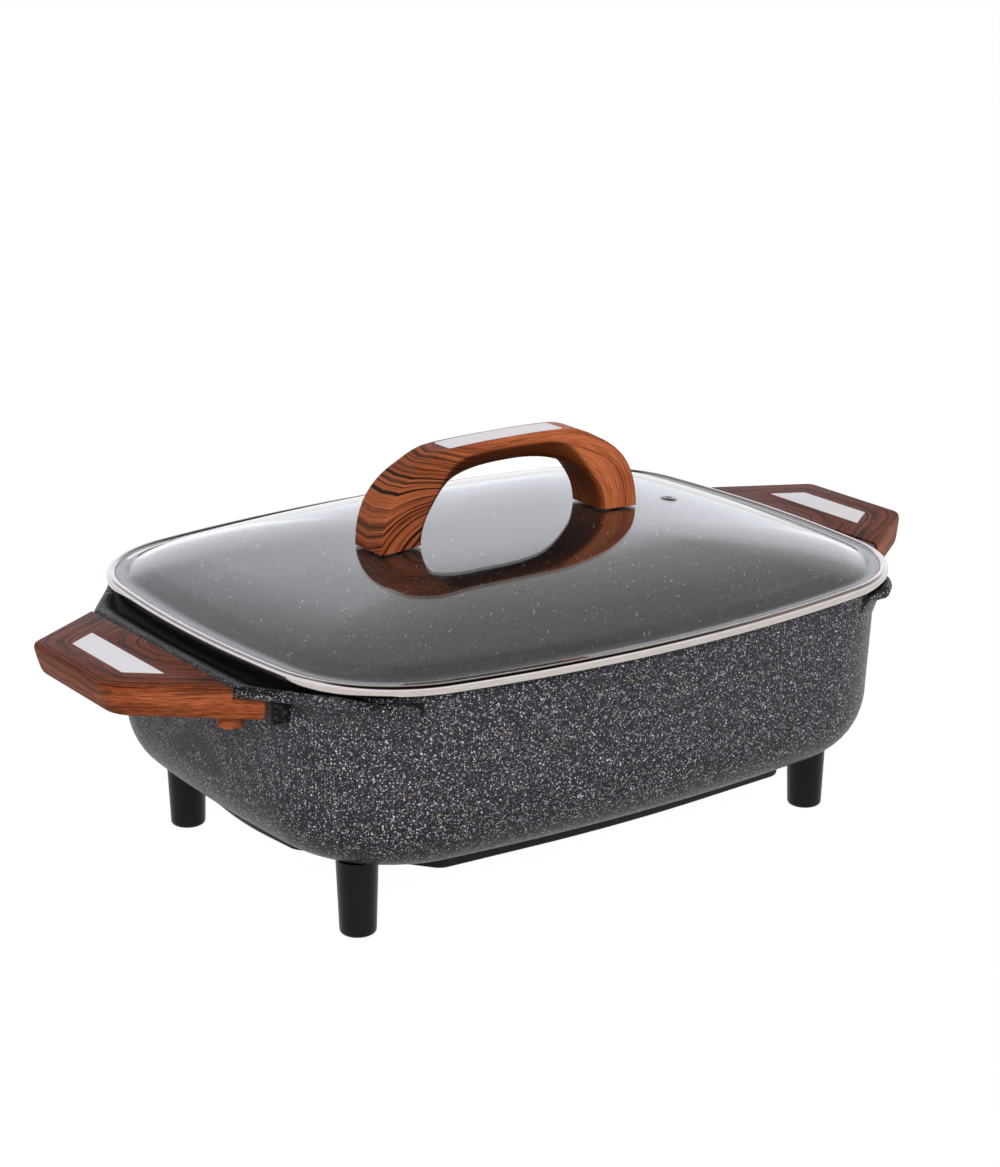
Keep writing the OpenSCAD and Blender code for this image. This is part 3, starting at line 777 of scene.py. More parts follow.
@dataclass
class Pan:
    """The cast pan with its shelves and stops, and the painted shade carried on its coat.

    A band is where a change begins and ends. A shelf's shares run from the wall out to its edge.
    """

    rim: Outline
    foot: Outline
    height: float = 146.5
    floor_underside: float = 42.0
    floor_top: float = 49.0
    floor_shares: tuple[float, ...] = (0.03, 0.35, 0.7, 0.9)
    wall: float = 4.0
    wall_shares: tuple[float, ...] = (0.15, 0.3, 0.45, 0.6, 0.75, 0.84, 0.87, 0.9, 0.93, 0.96)
    overhang: float = 6.5
    lip_rise: float = 1.2
    round_height: float = 77.0
    round_width: float = 29.0
    inner_round: float = 27.0
    # Painted shade on the outer wall: a band under the rim's overhang, lower near the ends, and
    # darkening towards the foot.
    rim_shadow_band: Span = (140.5, 143.5)
    rim_shadow_drop: float = 5.0
    drop_band: Span = (165.0, 186.0)
    foot_band: Span = (46.0, 92.0)
    foot_shade: float = 0.56
    shelf_x: float = 215.5
    shelf_top: float = 143.0
    shelf_bottom: float = 136.5
    shelf_shares: tuple[float, ...] = (0.86, 0.78, 0.72, 0.66, 0.6, 0.54, 0.48, 0.42, 0.36, 0.0)
    shelf_root_from: float = 60.0
    shelf_least: float = 0.6
    shelf_flat: float = 0.9
    edge_soft: Span = (3.1, 0.4)
    edge_turn: float = 0.3
    # Painted shade at the points of a shelf's section, up its edge and onto its top.
    edge_shade: tuple[float, ...] = (0.0, 0.0, 0.0, 0.0, 0.0, 0.5, 0.9, 1.0, 1.0)
    dip: float = 3.2
    dip_band: Span = (9.0, 17.0)
    hollow_band: Span = (0.36, 0.8)
    # The black painted shade in the hollow along the rim.
    trough_shade_band: Span = (0.38, 0.8)
    brace: Span = (6.0, 9.0)
    brace_band: Span = (91.0, 106.0)
    brace_out: tuple[Span, Span] = ((7.0, 0.5), (9.5, 0.7))
    brace_end: float = 0.1
    # Painted shade over a shelf's top, where the shelf reaches far from the wall.
    flat_band: Span = (11.0, 19.0)
    flat_shade: float = 0.76
    tuck_half: float = 86.5
    stop_x: Span = (191.0, 202.0)
    stop_half: float = 1.5
    stop_corner: float = 0.8
    stop_chamfer: Span = (0.6, 0.7)
    stop_drop: float = 12.0
    stop_into: float = 0.5
    stop_gap: float = 3.0
    # Painted shadow on the stop's far face.
    stop_shadow: float = 0.85
    stop_band: Span = (0.2, 0.9)
    wing: Points = field(
        default_factory=lambda: np.array(
            [[215.5, 73.0], [215.5, 75.0], [183.5, 116.5], [176.5, 132.0], [165.5, 141.0]]
        )
    )

    def foot_ring(self, t: float, floor: float, take_in: float, width: float) -> Points:
        """A ring of the round between floor and wall.

        Args:
            t: Its place, from 0 at the floor to a right angle at the wall.
            floor: Height of the floor's face.
            take_in: The wall face's offset.
            width: The round's width.

        Returns:
            The ring.
        """
        z = floor + (self.round_height - floor) * (1 - math.cos(t))
        return level(self.foot.at(take_in + width * (1 - math.sin(t))), z)

    def wall_ring(self, share: float, low: Points, high: Points) -> Points:
        """A ring of the wall at a share of its height between two outlines."""
        rise = self.height - self.round_height
        return level(low + (high - low) * share, self.round_height + rise * share)

    def shell(self) -> tuple[Piece, Points]:
        """The pan's wall and floor as one closed skin, dull inside, and the painted shade on its
        coat.
        """
        curve = np.linspace(0, RIGHT_ANGLE, 15)
        outer = self.foot.at(), self.rim.at(self.overhang)
        inner = self.foot.at(self.wall), self.rim.at(self.overhang + self.wall)
        under, floor = self.floor_underside, self.floor_top
        plane = self.foot.at(self.round_width)
        rings = [level(plane * s, under) for s in self.floor_shares]
        rings += [self.foot_ring(t, under, 0.0, self.round_width) for t in curve]
        rings += [self.wall_ring(s, *outer) for s in self.wall_shares]
        lip = self.wall / 2
        for t in np.linspace(0, math.pi, 9):
            outline = self.rim.at(self.overhang + lip - lip * math.cos(t))
            rings.append(level(outline, self.height - self.lip_rise * (1 - math.sin(t))))
        inside = len(rings) - 1
        rings += [self.wall_ring(s, *inner) for s in np.linspace(1, 0, 9)[1:-1]]
        rings += [self.foot_ring(t, floor, self.wall, self.inner_round) for t in curve[::-1]]
        plane = self.foot.at(self.wall + self.inner_round)
        rings += [level(plane * s, floor) for s in self.floor_shares[::-1]]
        shell = loft("pan_shell", rings)
        count = len(plane)
        for polygon in shell.data.polygons:
            polygon.material_index = int(polygon.index // count >= inside)
        # The last face but one is the cap under the floor.
        shell.data.polygons[len(shell.data.polygons) - 2].material_index = 0
        points = np.vstack(rings)
        # Painted shade: a band under the rim's overhang, lower near the ends, and darker towards
        # the foot; none inside.
        lower = self.rim_shadow_drop * smooth_step(*self.drop_band, np.abs(points[:, 0]))
        foot = self.foot_shade * (1 - smooth_step(*self.foot_band, points[:, 2]))
        dark = np.maximum(smooth_step(*self.rim_shadow_band, points[:, 2] + lower), foot)
        dark[inside * count :] = 0
        return shell, dark

    def shelf(self, end: int) -> tuple[Piece, Points]:
        """The shelf at one end: a strip from the wall out to a soft edge, hollowed along the rim.

        Args:
            end: 1 at +X, -1 at -X.

        Returns:
            The shelf's form, and the painted shade on its coat at each point.
        """
        upper = soften(self.wing, 3)
        half = float(upper[0, 1])
        straight = [[self.shelf_x, y] for y in np.linspace(-half, half, 17)[1:-1]]
        outer = np.vstack([upper[::-1] * [1, -1], straight, upper])
        mid = self.rim.at(self.overhang + self.wall / 2)
        mid = mid[mid[:, 0] > self.shelf_root_from]
        mid = mid[np.argsort(mid[:, 1])]
        top, low = self.shelf_top, self.shelf_bottom
        shares = np.array(self.shelf_shares)
        hollow = 1 - smooth_step(*self.hollow_band, shares)
        trough_shade = 1 - smooth_step(*self.trough_shade_band, shares)
        start, full = self.dip_band
        rows = []
        dark = []
        for x, y in outer:
            root = float(np.interp(y, mid[:, 1], mid[:, 0]))
            reach = max(x - root, self.shelf_least)
            edge = root + reach
            soft = min(self.edge_soft[0], reach * self.edge_soft[1])
            turn = soft * self.edge_turn
            brace = self.brace[0] + self.brace[1] * smooth_step(*self.brace_band, abs(y))
            near, far = (root + min(most, reach * share) for most, share in self.brace_out)
            dip = self.dip * np.clip((reach - start) / (full - start), 0, 1)
            section = [
                (root, low - brace),
                (near, low - brace * self.brace_end),
                (far, low),
                (edge - soft, low),
                (edge - turn, low + turn),
                (edge, low + soft),
                (edge, top - soft),
                (edge - turn, top - turn),
                (min(edge - soft, root + reach * self.shelf_flat), top),
            ]
            section += [(root + reach * k, top - dip * deep) for k, deep in zip(shares, hollow)]
            rows.append(np.array([[end * px, y, pz] for px, pz in section]))
            # Painted shade: over the top where the shelf reaches far, and black in the hollow by
            # the rim.
            flat = self.flat_shade * smooth_step(*self.flat_band, reach)
            dark += [share * flat for share in self.edge_shade]
            dark += list(flat + (1 - flat) * trough_shade)
        return loft("shelf", rows), np.array(dark)

    def stop(self, end: int, side: int) -> tuple[Piece, Points]:
        """The small stop on the wall beside a handle's lower tier, with painted shadow on its far
        face.
        """
        near, far = self.stop_x
        box = trapezoid(near, self.stop_half, far, self.stop_half)
        d, up = self.stop_chamfer
        low, high = self.shelf_bottom - self.stop_drop, self.shelf_bottom + self.stop_into
        rings = [
            level(rounded(inset(box, take_in), [self.stop_corner] * 4, 4), z)
            for take_in, z in ((d, low), (0.0, low + up), (0.0, high))
        ]
        form = put(loft("stop", rings), (0, side * (self.tuck_half + self.stop_gap), 0))
        dark = self.stop_shadow * smooth_step(*self.stop_band, side * np.vstack(rings)[:, 1])
        return at_end(form, end), dark

    def build(self, finish: Finish, inside: Finish) -> None:
        """Builds the casting and fits it on the pan's body."""
        made = [self.shell()]
        for end, _ in ENDS:
            made.append(self.shelf(end))
            made += [self.stop(end, side) for side in (-1, 1)]
        piece = join("pan_casting", [form for form, _ in made])
        face_outward(piece.data)
        # The painted shade of every form goes onto the casting's points.
        carry(piece.data, "shade", np.concatenate([dark for _, dark in made]))
        smooth(piece, 40)
        for coat in (finish, inside):
            piece.data.materials.append(coat.material())
        fit(piece, Body.PAN, "nonstick_aluminium", finish, "pan_body")


@dataclass
class SideHandles:
    """The two wood-look side handles with their inlaid plates.

    An edge is how far in each of its rings is, and how far from the face that it softens.
    """

    x: float = 268.5
    outer_half: float = 40.0
    tuck_x: float = 201.5
    tuck_half: float = 86.5
    tuck_corner: float = 1.2
    lean: float = 4.0
    corner: float = 9.0
    low_corner: float = 20.0
    corner_run: float = 1.4
    top: float = 143.0
    rise: float = 2.4
    rise_from: float = 215.5
    thickness: float = 16.6
    low_edge: tuple[Span, ...] = (
        *((1.6, 0.0), (1.0, 0.2), (0.6, 0.7)),
        *((0.25, 1.8), (0.05, 4.0), (0.02, 9.0)),
    )
    top_edge: tuple[Span, ...] = (
        *((0.05, 3.2), (0.25, 2.2), (0.7, 1.2)),
        *((1.1, 0.7), (1.7, 0.25), (2.4, 0.0)),
    )
    step_x: float = 215.7
    step_z: float = 136.5
    clear: float = 5.0
    boss_x: float = 211.0
    boss_y: float = 65.0
    boss: float = 14.0
    boss_drop: float = 7.4
    boss_into: float = 1.5
    boss_soft: float = 1.0
    boss_turn: float = 0.3
    head: float = 7.4
    head_gap: float = 0.3
    plate_mid: float = 242.2
    plate_width: float = 17.8
    plate_half: float = 39.8
    plate_far: float = 27.4
    plate_thickness: float = 1.5
    plate_gap: float = 0.15
    plate_corner: float = 0.5
    plate_edge: tuple[Span, ...] = ((0.0, -0.05), (0.1, 0.06), (0.3, 0.1))

    def slab(self, take_in: float) -> Points:
        """The slab's corners at the +X end, anticlockwise, its outer edge taken in."""
        slope = (self.tuck_half - self.outer_half) / (self.x - self.tuck_x)
        half = self.outer_half + slope * take_in
        return trapezoid(self.tuck_x, self.tuck_half, self.x - take_in, half)

    def risen(self, outline: Points, z: float) -> Points:
        """A ring of the handle, rising outwards from the shelf's edge."""
        ring = level(outline, z)
        ring[:, 2] += (ring[:, 0] - self.rise_from) * math.tan(math.radians(self.rise))
        return ring

    def plate_outline(self, take_in: float) -> Points:
        """The inlaid plate's outline at the +X end."""
        near, far = (self.plate_mid + side * self.plate_width / 2 for side in (-1, 1))
        return inset(trapezoid(near, self.plate_half, far, self.plate_far), take_in)

    def bosses(self, base: float) -> list[Piece]:
        """The two screw bosses of a handle whose underside is at a height."""
        low, high = base - self.boss_drop, base + self.boss_into
        r, bore = self.boss / 2, self.head / 2 + self.head_gap
        soft, turn = self.boss_soft, self.boss_turn
        profile = [(bore, low), (r - soft, low), (r - turn, low + turn), (r, low + soft)]
        profile += [(r, high), (bore, high)]
        places = [(self.boss_x, side * self.boss_y, 0) for side in (-1, 1)]
        return [put(lathe("boss", profile), place) for place in places]

    def grip(self, end: int, name: str) -> Piece:
        """One handle: a soft-edged slab in two tiers with its screw bosses and plate pocket.

        Args:
            end: 1 at +X, -1 at -X.
            name: The piece's name.

        Returns:
            The handle.
        """
        t = self.thickness
        base = self.top - t
        rings = []
        for d, z in self.low_edge + tuple((d, t - down) for d, down in self.top_edge):
            full = min(z / t * self.corner_run, 1.0)
            r = self.low_corner + (self.corner - self.low_corner) * full - d
            slab = inset(self.slab(self.lean * (1 - z / t)), d)
            radii = [self.tuck_corner, r, r, self.tuck_corner]
            rings.append(self.risen(rounded(slab, radii, 12), base + z))
        piece = loft("side_grip", rings)
        bosses = self.bosses(base)
        half, high = self.tuck_half + self.clear, self.top + self.clear
        step = trapezoid(self.tuck_x - self.clear, half, self.step_x, half)
        pocket, bed = self.plate_outline(0), self.top - self.plate_thickness
        tools = [
            loft("cutter", [level(step, z) for z in (self.step_z, high)]),
            loft("pocket", [self.risen(pocket, z) for z in (bed, high)]),
        ]
        cut_with(piece, tools)
        return smooth(at_end(join(name, [piece] + bosses), end), 30)

    def plate(self, end: int, name: str) -> Piece:
        """One inlaid plate with a fine chamfer, at an end and with a name."""
        rings = []
        for d, up in ((0.0, -self.plate_thickness), *self.plate_edge):
            outline = rounded(self.plate_outline(self.plate_gap + d), [self.plate_corner] * 4, 4)
            rings.append(self.risen(outline, self.top + up))
        return smooth(at_end(loft(name, rings), end), 25)

    def build(self, wood: Finish, plate: Finish) -> None:
        """Builds both handles and plates and fits them on the pan's body."""
        for end, side in ENDS:
            grip = self.grip(end, f"handle_{side}")
            fit(grip, Body.PAN, "wood_look_phenolic", wood, f"{side}_handle")
            inlay = self.plate(end, f"handle_plate_{side}")
            fit(inlay, Body.PAN, "satin_plate", plate, f"{side}_handle_plate")


@dataclass
class Stand:
    """The four legs and the base cover."""

    leg_x: float = 153.25
    leg_y: float = 90.1
    foot: float = 19.6
    foot_round: float = 2.2
    taper_from: float = 2.4
    top: float = 22.4
    height: float = 42.0
    seat: float = 26.0
    seat_bore: float = 9.0
    seat_soft: float = 0.4
    screw_bore: float = 4.3
    cover_x: float = 168.0
    cover_y: float = 117.5
    cover_end_half: float = 43.6
    cover_side_half: float = 114.25
    cover_bow_x: float = 4.0
    cover_bow_y: float = 7.5
    cover_corner: float = 10.0
    cover_bottom: float = 32.0
    cover_round: float = 1.6
    cover_sheet: float = 2.0
    cover_gap: float = 0.02
    cover_screw: Span = (70.0, 40.0)
    guard_back: float = 161.8
    guard_half: float = 25.15
    guard_room: Span = (30.0, 20.0)

    def leg(self, name: str, x: int, y: int) -> Piece:
        """One tapered leg with a rounded foot and a deep screw seat, at a corner."""
        r, bore, screw = self.foot / 2, self.seat_bore / 2, self.screw_bore / 2
        turn, start = self.foot_round, self.taper_from
        profile = [(bore, self.seat_soft), (bore + self.seat_soft, 0.0), (r - turn, 0.0)]
        for a in np.linspace(0.2, 1.5, 6):
            profile.append((r - turn + turn * math.sin(a), turn - turn * math.cos(a)))
        for s in np.linspace(0, 1, 6):
            profile.append((r + (self.top / 2 - r) * s, start + (self.height - start) * s))
        profile += [(screw, self.height), (screw, self.seat), (bore, self.seat)]
        return smooth(put(lathe(name, profile, 72), (x * self.leg_x, y * self.leg_y, 0)), 35)

    def cover_outline(self, take_in: float) -> Points:
        """The cover's outline: an octagon with bowed sides."""
        a = np.array([self.cover_x - self.cover_bow_x, self.cover_end_half])
        b = np.array([self.cover_side_half, self.cover_y - self.cover_bow_y])
        corners = [[self.cover_x, 0], a, b, [0, self.cover_y], [-b[0], b[1]], [-a[0], a[1]]]
        corners = np.array(corners + [[-p[0], -p[1]] for p in corners], dtype=float)
        end = 0.5 * self.cover_end_half**2 / self.cover_bow_x
        side = 0.5 * self.cover_side_half**2 / self.cover_bow_y
        r = self.cover_corner - take_in
        return rounded(inset(corners, take_in), [end, r, r, side, r, r] * 2, 8)

    def cover(self) -> Piece:
        """The tray under the floor, cut away at the terminal guard."""
        low, turn = self.cover_bottom, self.cover_round
        floor, edge = low + self.cover_sheet, self.height - self.cover_gap
        outer, inner = self.cover_outline(0), self.cover_outline(self.cover_sheet)
        rings = [level(outer * s, low) for s in (0.03, 0.4, 0.8)]
        for t in np.linspace(0, RIGHT_ANGLE, 6):
            outline = self.cover_outline(turn * (1 - math.sin(t)))
            rings.append(level(outline, low + turn * (1 - math.cos(t))))
        rings += [level(outer, edge), level(inner, edge)]
        rings += [level(inner * s, floor) for s in (1.0, 0.5, 0.03)]
        piece = loft("base_tray", rings)
        out, up = self.guard_room
        gap = trapezoid(self.guard_back, self.guard_half, self.guard_back + out, self.guard_half)
        cut_with(piece, [loft("gap", [level(gap, floor), level(gap, floor + up)])])
        return smooth(piece, 35)

    def build(self, leg: Finish, tray: Finish) -> None:
        """Builds legs and cover and fits them on the pan's body."""
        for y, depth in ((-1, "front"), (1, "rear")):
            for x, side in ENDS:
                piece = self.leg(f"leg_{depth}_{side}", x, y)
                fit(piece, Body.PAN, "black_phenolic", leg, f"{depth}_{side}_leg")
        fit(self.cover(), Body.PAN, "black_cover", tray, "base_cover")


@dataclass
class Lid:
    """The domed glass, its steel rim and the steam vent."""

    outline: Outline
    glass_bottom: float = 146.7
    glass_thickness: float = 3.4
    glass_edge: float = 1.2
    border: float = 10.0
    dome_rise: float = 24.3
    dome_end: float = 0.98
    shoulder_from: float = 0.62
    shoulder: float = 0.93
    shoulder_rise: float = 0.9
    bend: float = 2.5
    rim_depth: float = 5.0
    rim_height: float = 6.0
    rim_bottom: float = 144.8
    rim_bend: float = 2.35
    vent_x: float = 121.0
    vent_z: float = 167.9
    vent_tilt: float = 8.88
    vent_flange: tuple[Span, ...] = (
        *((2.0, -0.2), (2.0, 0.62), (2.3, 0.86), (3.4, 0.9)),
        *((4.4, 0.8), (5.0, 0.5), (5.2, 0.06), (5.2, -0.1)),
    )
    vent_foot: tuple[Span, ...] = ((2.0, -4.3), (4.6, -4.3), (4.6, -3.5), (2.0, -3.5))
    # A thin near-black disc inside the eyelet, painted shadow for its hole.
    vent_shadow_disc: tuple[Span, ...] = ((0.05, 0.02), (2.05, 0.02), (2.05, 0.12), (0.05, 0.12))
    vent_bar: Span = (2.2, 0.7)
    vent_bar_edge: tuple[Span, ...] = ((1.0, 0.1), (1.0, 0.55), (0.6, 0.7))

    def dome(self, share: float) -> float:
        """The dome's rise at a share of the way from its middle to the border.

        A faint shoulder stands a little inside the border.
        """
        rise = self.dome_rise * (1 - share**3)
        inner = smooth_step(self.shoulder_from, self.shoulder, share)
        outer = np.clip((1 - share) / (1 - self.shoulder), 0, 1)
        return float(rise + self.shoulder_rise * inner * outer)

    def skin(self, under: bool) -> list[Points]:
        """Rings of one face of the glass, from the middle out.

        Args:
            under: Whether it is the lower face.

        Returns:
            The rings.
        """
        base = self.glass_bottom + (0 if under else self.glass_thickness)
        edge, end = self.outline.at(self.border), self.dome_end
        # The rings stand closer together near the border.
        shares = np.concatenate([[0.02], np.linspace(0.06, 0.86, 26), np.linspace(0.88, end, 15)])
        rings = [level(edge * s, base + self.dome(s)) for s in shares]
        # The dome turns into the flat border over a short bend.
        start, outer = edge * end, self.outline.at(self.border - self.bend)
        rise = self.dome(end)
        for s in np.linspace(0, 1, 8)[1:]:
            rings.append(level(start + (outer - start) * s, base + rise * (1 - s) ** 2))
        rings.append(level(self.outline.at(self.glass_edge), base))
        return rings

    def rim(self, steel: Finish) -> Piece:
        """The rolled rim, swept along the lid's outline by Geometry Nodes."""
        middle = self.rim_bottom + self.rim_height / 2
        path = level(self.outline.at(self.rim_depth / 2), middle) * MM
        mesh = bpy.data.meshes.new("steel_rim")
        count = len(path)
        mesh.from_pydata(path.tolist(), [(i, (i + 1) % count) for i in range(count)], [])
        sizes = {"Depth": self.rim_depth, "Height": self.rim_height, "Bend": self.rim_bend}
        return run_nodes(linked("steel_rim", mesh), rim_tree(), sizes, steel)

    def vent(self, steel: Finish, inside: Finish) -> Piece:
        """The eyelet: a rolled flange with a bar across its hole and a near-black disc in it,
        painted shadow for the hole.
        """
        long, half = self.vent_bar
        bar = trapezoid(-long, half, long, half)
        shown = [
            lathe("vent_ring", self.vent_flange),
            loft("vent_bar", [level(bar * [1, share], z) for share, z in self.vent_bar_edge]),
            lathe("vent_foot", self.vent_foot),
        ]
        bright = sum(len(form.data.polygons) for form in shown)
        piece = join("vent_eyelet", shown + [lathe("vent_shadow_disc", self.vent_shadow_disc, 32)])
        for finish in (steel, inside):
            piece.data.materials.append(finish.material())
        for polygon in piece.data.polygons[bright:]:
            polygon.material_index = 1
        return smooth(put(piece, (self.vent_x, 0, self.vent_z), self.vent_tilt), 40)

    def build(self, glass: Finish, steel: Finish, eyelet: Finish, inside: Finish) -> None:
        """Builds glass, rim and vent and fits them on the lid's body."""
        dome = smooth(loft("dome_glass", self.skin(True) + self.skin(False)[::-1]), 50)
        fit(dome, Body.LID, "tempered_glass", glass, "lid_glass")
        fit(self.rim(steel), Body.LID, "polished_steel", steel, "lid_rim")
        fit(self.vent(eyelet, inside), Body.LID, "polished_steel", eyelet, "steam_vent")


@dataclass
class LidGrip:
    """The arched grip on the lid, its plate, gaskets and washers.

    A half section goes from the middle of the outer face round to the middle of the inner one, as
    shares of the grip's thickness and of half its breadth.
    """

    base: float = 168.79
    top: float = 225.29
    outer: float = 87.0
    inner: float = 61.0
    outer_power: float = 2.7
    inner_power: float = 2.5
    thickness: float = 14.5
    breadth: float = 25.0
    rings: int = 181
    foot_x: float = 73.0
    foot_z: float = 172.79
    foot_tilt: float = 3.3
    foot_band: Span = (0.2, 0.9)
    foot_flare: float = 0.16
    screw_at: Span = (72.734, 168.178)
    gasket: Span = (0.02, 1.2)
    gasket_width: float = 17.0
    washer: Span = (-4.62, -3.42)
    washer_width: float = 14.0
    seat_bore: float = 5.3
    seat_soft: float = 0.3
    plate_length: float = 77.0
    plate_breadth: float = 16.4
    plate_thickness: float = 1.5
    plate_gap: float = 0.15
    plate_corner: float = 2.0
    plate_blunt: float = 0.2
    plate_edge: tuple[Span, ...] = ((0.0, 0.02), (0.25, 0.1))
    flat_end: float = 62.0
    flat_drop: float = 0.8
    flat_share: float = 0.6
    # Painted shade on the underside below the ridge; the left leg is darkened through the same
    # shade.
    under_band: Span = (8.5, 11.0)
    left_shade: float = 0.4
    left_band: Span = (4.0, 62.0)
    grain_depth: float = 20.0
    grain_edge: int = 4
    grain_turns: Span = (0.92, 0.2)
    grain_from: float = 4.0
    grain_fall: float = 0.9
    crown_side: Points = field(
        default_factory=lambda: np.array(
            [[1, 0], [1, 0.4], [1, 0.7], [0.993, 0.745], [0.972, 0.785], [0.935, 0.83]]
            + [[0.885, 0.885], [0.82, 0.945], [0.765, 0.985], [0.7, 1], [0.64, 0.98], [0.58, 0.94]]
            + [[0.44, 0.815], [0.3, 0.68], [0.17, 0.545], [0.07, 0.43], [0.02, 0.36], [0, 0.28]]
            + [[0, 0.14], [0, 0]]
        )
    )
    foot_side: Points = field(
        default_factory=lambda: np.array(
            [[1, 0], [1, 0.45], [1, 0.78], [0.993, 0.855], [0.97, 0.92], [0.93, 0.965]]
            + [[0.87, 0.99], [0.7, 1], [0.35, 1], [0.12, 1], [0.07, 0.985], [0.03, 0.95]]
            + [[0.008, 0.9], [0, 0.84], [0, 0.72], [0, 0.58], [0, 0.44], [0, 0.3]]
            + [[0, 0.15], [0, 0]]
        )
    )

    def arch(self, t: float, x: float, height: float, power: float) -> Points:
        """A point of an arch, from 0 at the right foot to 180 degrees at the left."""
        c, s = math.cos(math.radians(t)), math.sin(math.radians(t))
        across = math.copysign(x * abs(c) ** (2 / power), c)
        return np.array([across, self.base + height * abs(s) ** (2 / power)])

    def flattened(self, x: float, z: float) -> float:
        """The crown's height, a little flattened where the plate lies."""
        flat = self.flat_share * (1 - smooth_step(self.plate_length / 2, self.flat_end, abs(x)))
        return z + (self.top - self.flat_drop - z) * flat

    def path(self, t: float, share: float) -> Points:
        """A point of the arch at a share of the way from its inner to its outer curve."""
        outer = self.arch(t, self.outer, self.top - self.base, self.outer_power)
        if outer[1] > self.base + self.thickness:
            outer[1] = self.flattened(*outer)
        inner = self.arch(t, self.inner, self.top - self.thickness - self.base, self.inner_power)
        return inner + (outer - inner) * share

    def start(self, share: float) -> float:
        """Where a line of the grip meets its foot's seat, in degrees."""
        tilt = math.radians(self.foot_tilt)
        # Halving the span between a point under the seat and one over it closes in on the seat.
        low, high = 0.0, 60.0
        for _ in range(40):
            mid = (low + high) / 2
            x, z = self.path(mid, share)
            over = (x - self.foot_x) * math.sin(tilt) + (z - self.foot_z) * math.cos(tilt)
            low, high = (mid, high) if over < self.gasket[1] else (low, mid)
        return high

    def handle(self) -> Piece:
        """The grip, with the grain's place and direction, and its painted shade, carried on its
        mesh.
        """
        rows = []
        grain = []
        under = []
        starts = [self.start(share) for share in self.foot_side[:, 0]]
        count = len(starts)
        around = list(range(count)) + [-k for k in range(count - 2, 0, -1)]
        even = np.linspace(0, 1, self.rings)
        # The rings stand closer together at the feet.
        for k in 0.5 * even + 0.5 * (0.5 - 0.5 * np.cos(math.pi * even)):
            ring = []
            for j in around:
                first = starts[abs(j)]
                t = first + (180 - 2 * first) * k
                lean = abs(math.cos(math.radians(t)))
                foot = smooth_step(*self.foot_band, lean)
                side = self.crown_side + (self.foot_side - self.crown_side) * foot
                share, width = side[abs(j)]
                half = (1 + self.foot_flare * lean) * self.breadth / 2
                x, z = self.path(t, share)
                ring.append([x, math.copysign(width * half, j), z])
                grain.append(self.grain_at(t, side, abs(j), half))
                # Painted shade below the ridge, and the darker left leg.
                below = smooth_step(*self.under_band, abs(j))
                under.append(max(below, self.left_shade * grain[-1][2]))
            rows.append(np.array(ring))
        piece = loft("lid_grip", rows)
        carry(piece.data, "grain", grain)
        carry(piece.data, "shade", under)
        return smooth(piece, 40)

    def grain_at(self, t: float, side: Points, j: int, half: float) -> list[float]:
        """The grain at a point: level bands down the left leg's outer face, slanted on its front.

        Args:
            t: The point's place round the arch, in degrees.
            side: The half section that it belongs to.
            j: Its number in the half section.
            half: Half the breadth there.

        Returns:
            Millimetres along the grain and across it, and how far it is down the left leg.
        """
        steps = np.linalg.norm(np.diff(side * [self.grain_depth, half], axis=0), axis=1)
        near = steps[: min(j, self.grain_edge)].sum()
        far = steps[self.grain_edge : j].sum()
        x, z = self.path(t, 0.5)
        left = smooth_step(*self.left_band, max(-x, 0.0))
        fall = self.grain_fall
        long = math.copysign(math.hypot(x, (self.top - z) * fall), -x)
        outer, front = (1 - turn * left for turn in self.grain_turns)
        across = near * outer + far * front + left * (long - self.grain_from) * fall
        return [long, across, left]

    def plate(self) -> Piece:
        """The inlaid plate, bent to the crown, with rounded corners."""
        half = self.plate_length / 2 - self.plate_gap
        corner = self.plate_corner
        straight = self.plate_breadth / 2 - self.plate_gap - corner
        turn = half - corner * (1 - np.cos(np.linspace(RIGHT_ANGLE, 0, 9)))
        middle = np.linspace(corner - half, half - corner, 41)[1:-1]
        rows = []
        for x in np.concatenate([-turn[::-1], middle, turn]):
            into = max(abs(x) - (half - corner), 0.0)
            w = straight + max(math.sqrt(max(corner**2 - into**2, 0.0)), self.plate_blunt)
            crown = (1 - (abs(x) / self.outer) ** self.outer_power) ** (1 / self.outer_power)
            z = self.flattened(x, self.base + (self.top - self.base) * crown)
            low = z - self.plate_thickness
            edge = [(w - d, z + up) for d, up in self.plate_edge]
            section = [(-w, low), (w, low)] + edge + [(-y, up) for y, up in edge[::-1]]
            rows.append(np.array([[x, y, up] for y, up in section]))
        return smooth(loft("grip_plate", rows), 30)

    def seats(self, name: str, width: float, span: Span) -> Piece:
        """Two flat rings square to the glass under the grip's feet.

        Args:
            name: The piece's name.
            width: Outer diameter.
            span: Heights of the lower and upper faces above the glass.

        Returns:
            Both rings as one object.
        """
        low, high = span
        soft = min(self.seat_soft, (high - low) / 4)
        r, bore = width / 2, self.seat_bore / 2
        profile = [(bore, low), (r - soft, low), (r, low + soft)]
        profile += [(r, high - soft), (r - soft, high), (bore, high)]
        rings = []
        for end, _ in ENDS:
            place = (end * self.foot_x, 0, self.foot_z)
            rings.append(put(lathe("seat", profile), place, self.foot_tilt * end))
        return smooth(join(name, rings), 40)

    def build(self, wood: Finish, plate: Finish, rubber: Finish, zinc: Finish) -> None:
        """Builds the grip and its fittings and fits them on the lid's body."""
        fit(self.handle(), Body.LID, "wood_look_phenolic", wood, "lid_handle")
        fit(self.plate(), Body.LID, "satin_plate", plate, "lid_handle_plate")
        gaskets = self.seats("grip_gaskets", self.gasket_width, self.gasket)
        fit(gaskets, Body.LID, "silicone", rubber, "lid_handle_gaskets")
        washers = self.seats("grip_washers", self.washer_width, self.washer)
        fit(washers, Body.LID, "zinc_steel", zinc, "lid_handle_washers")


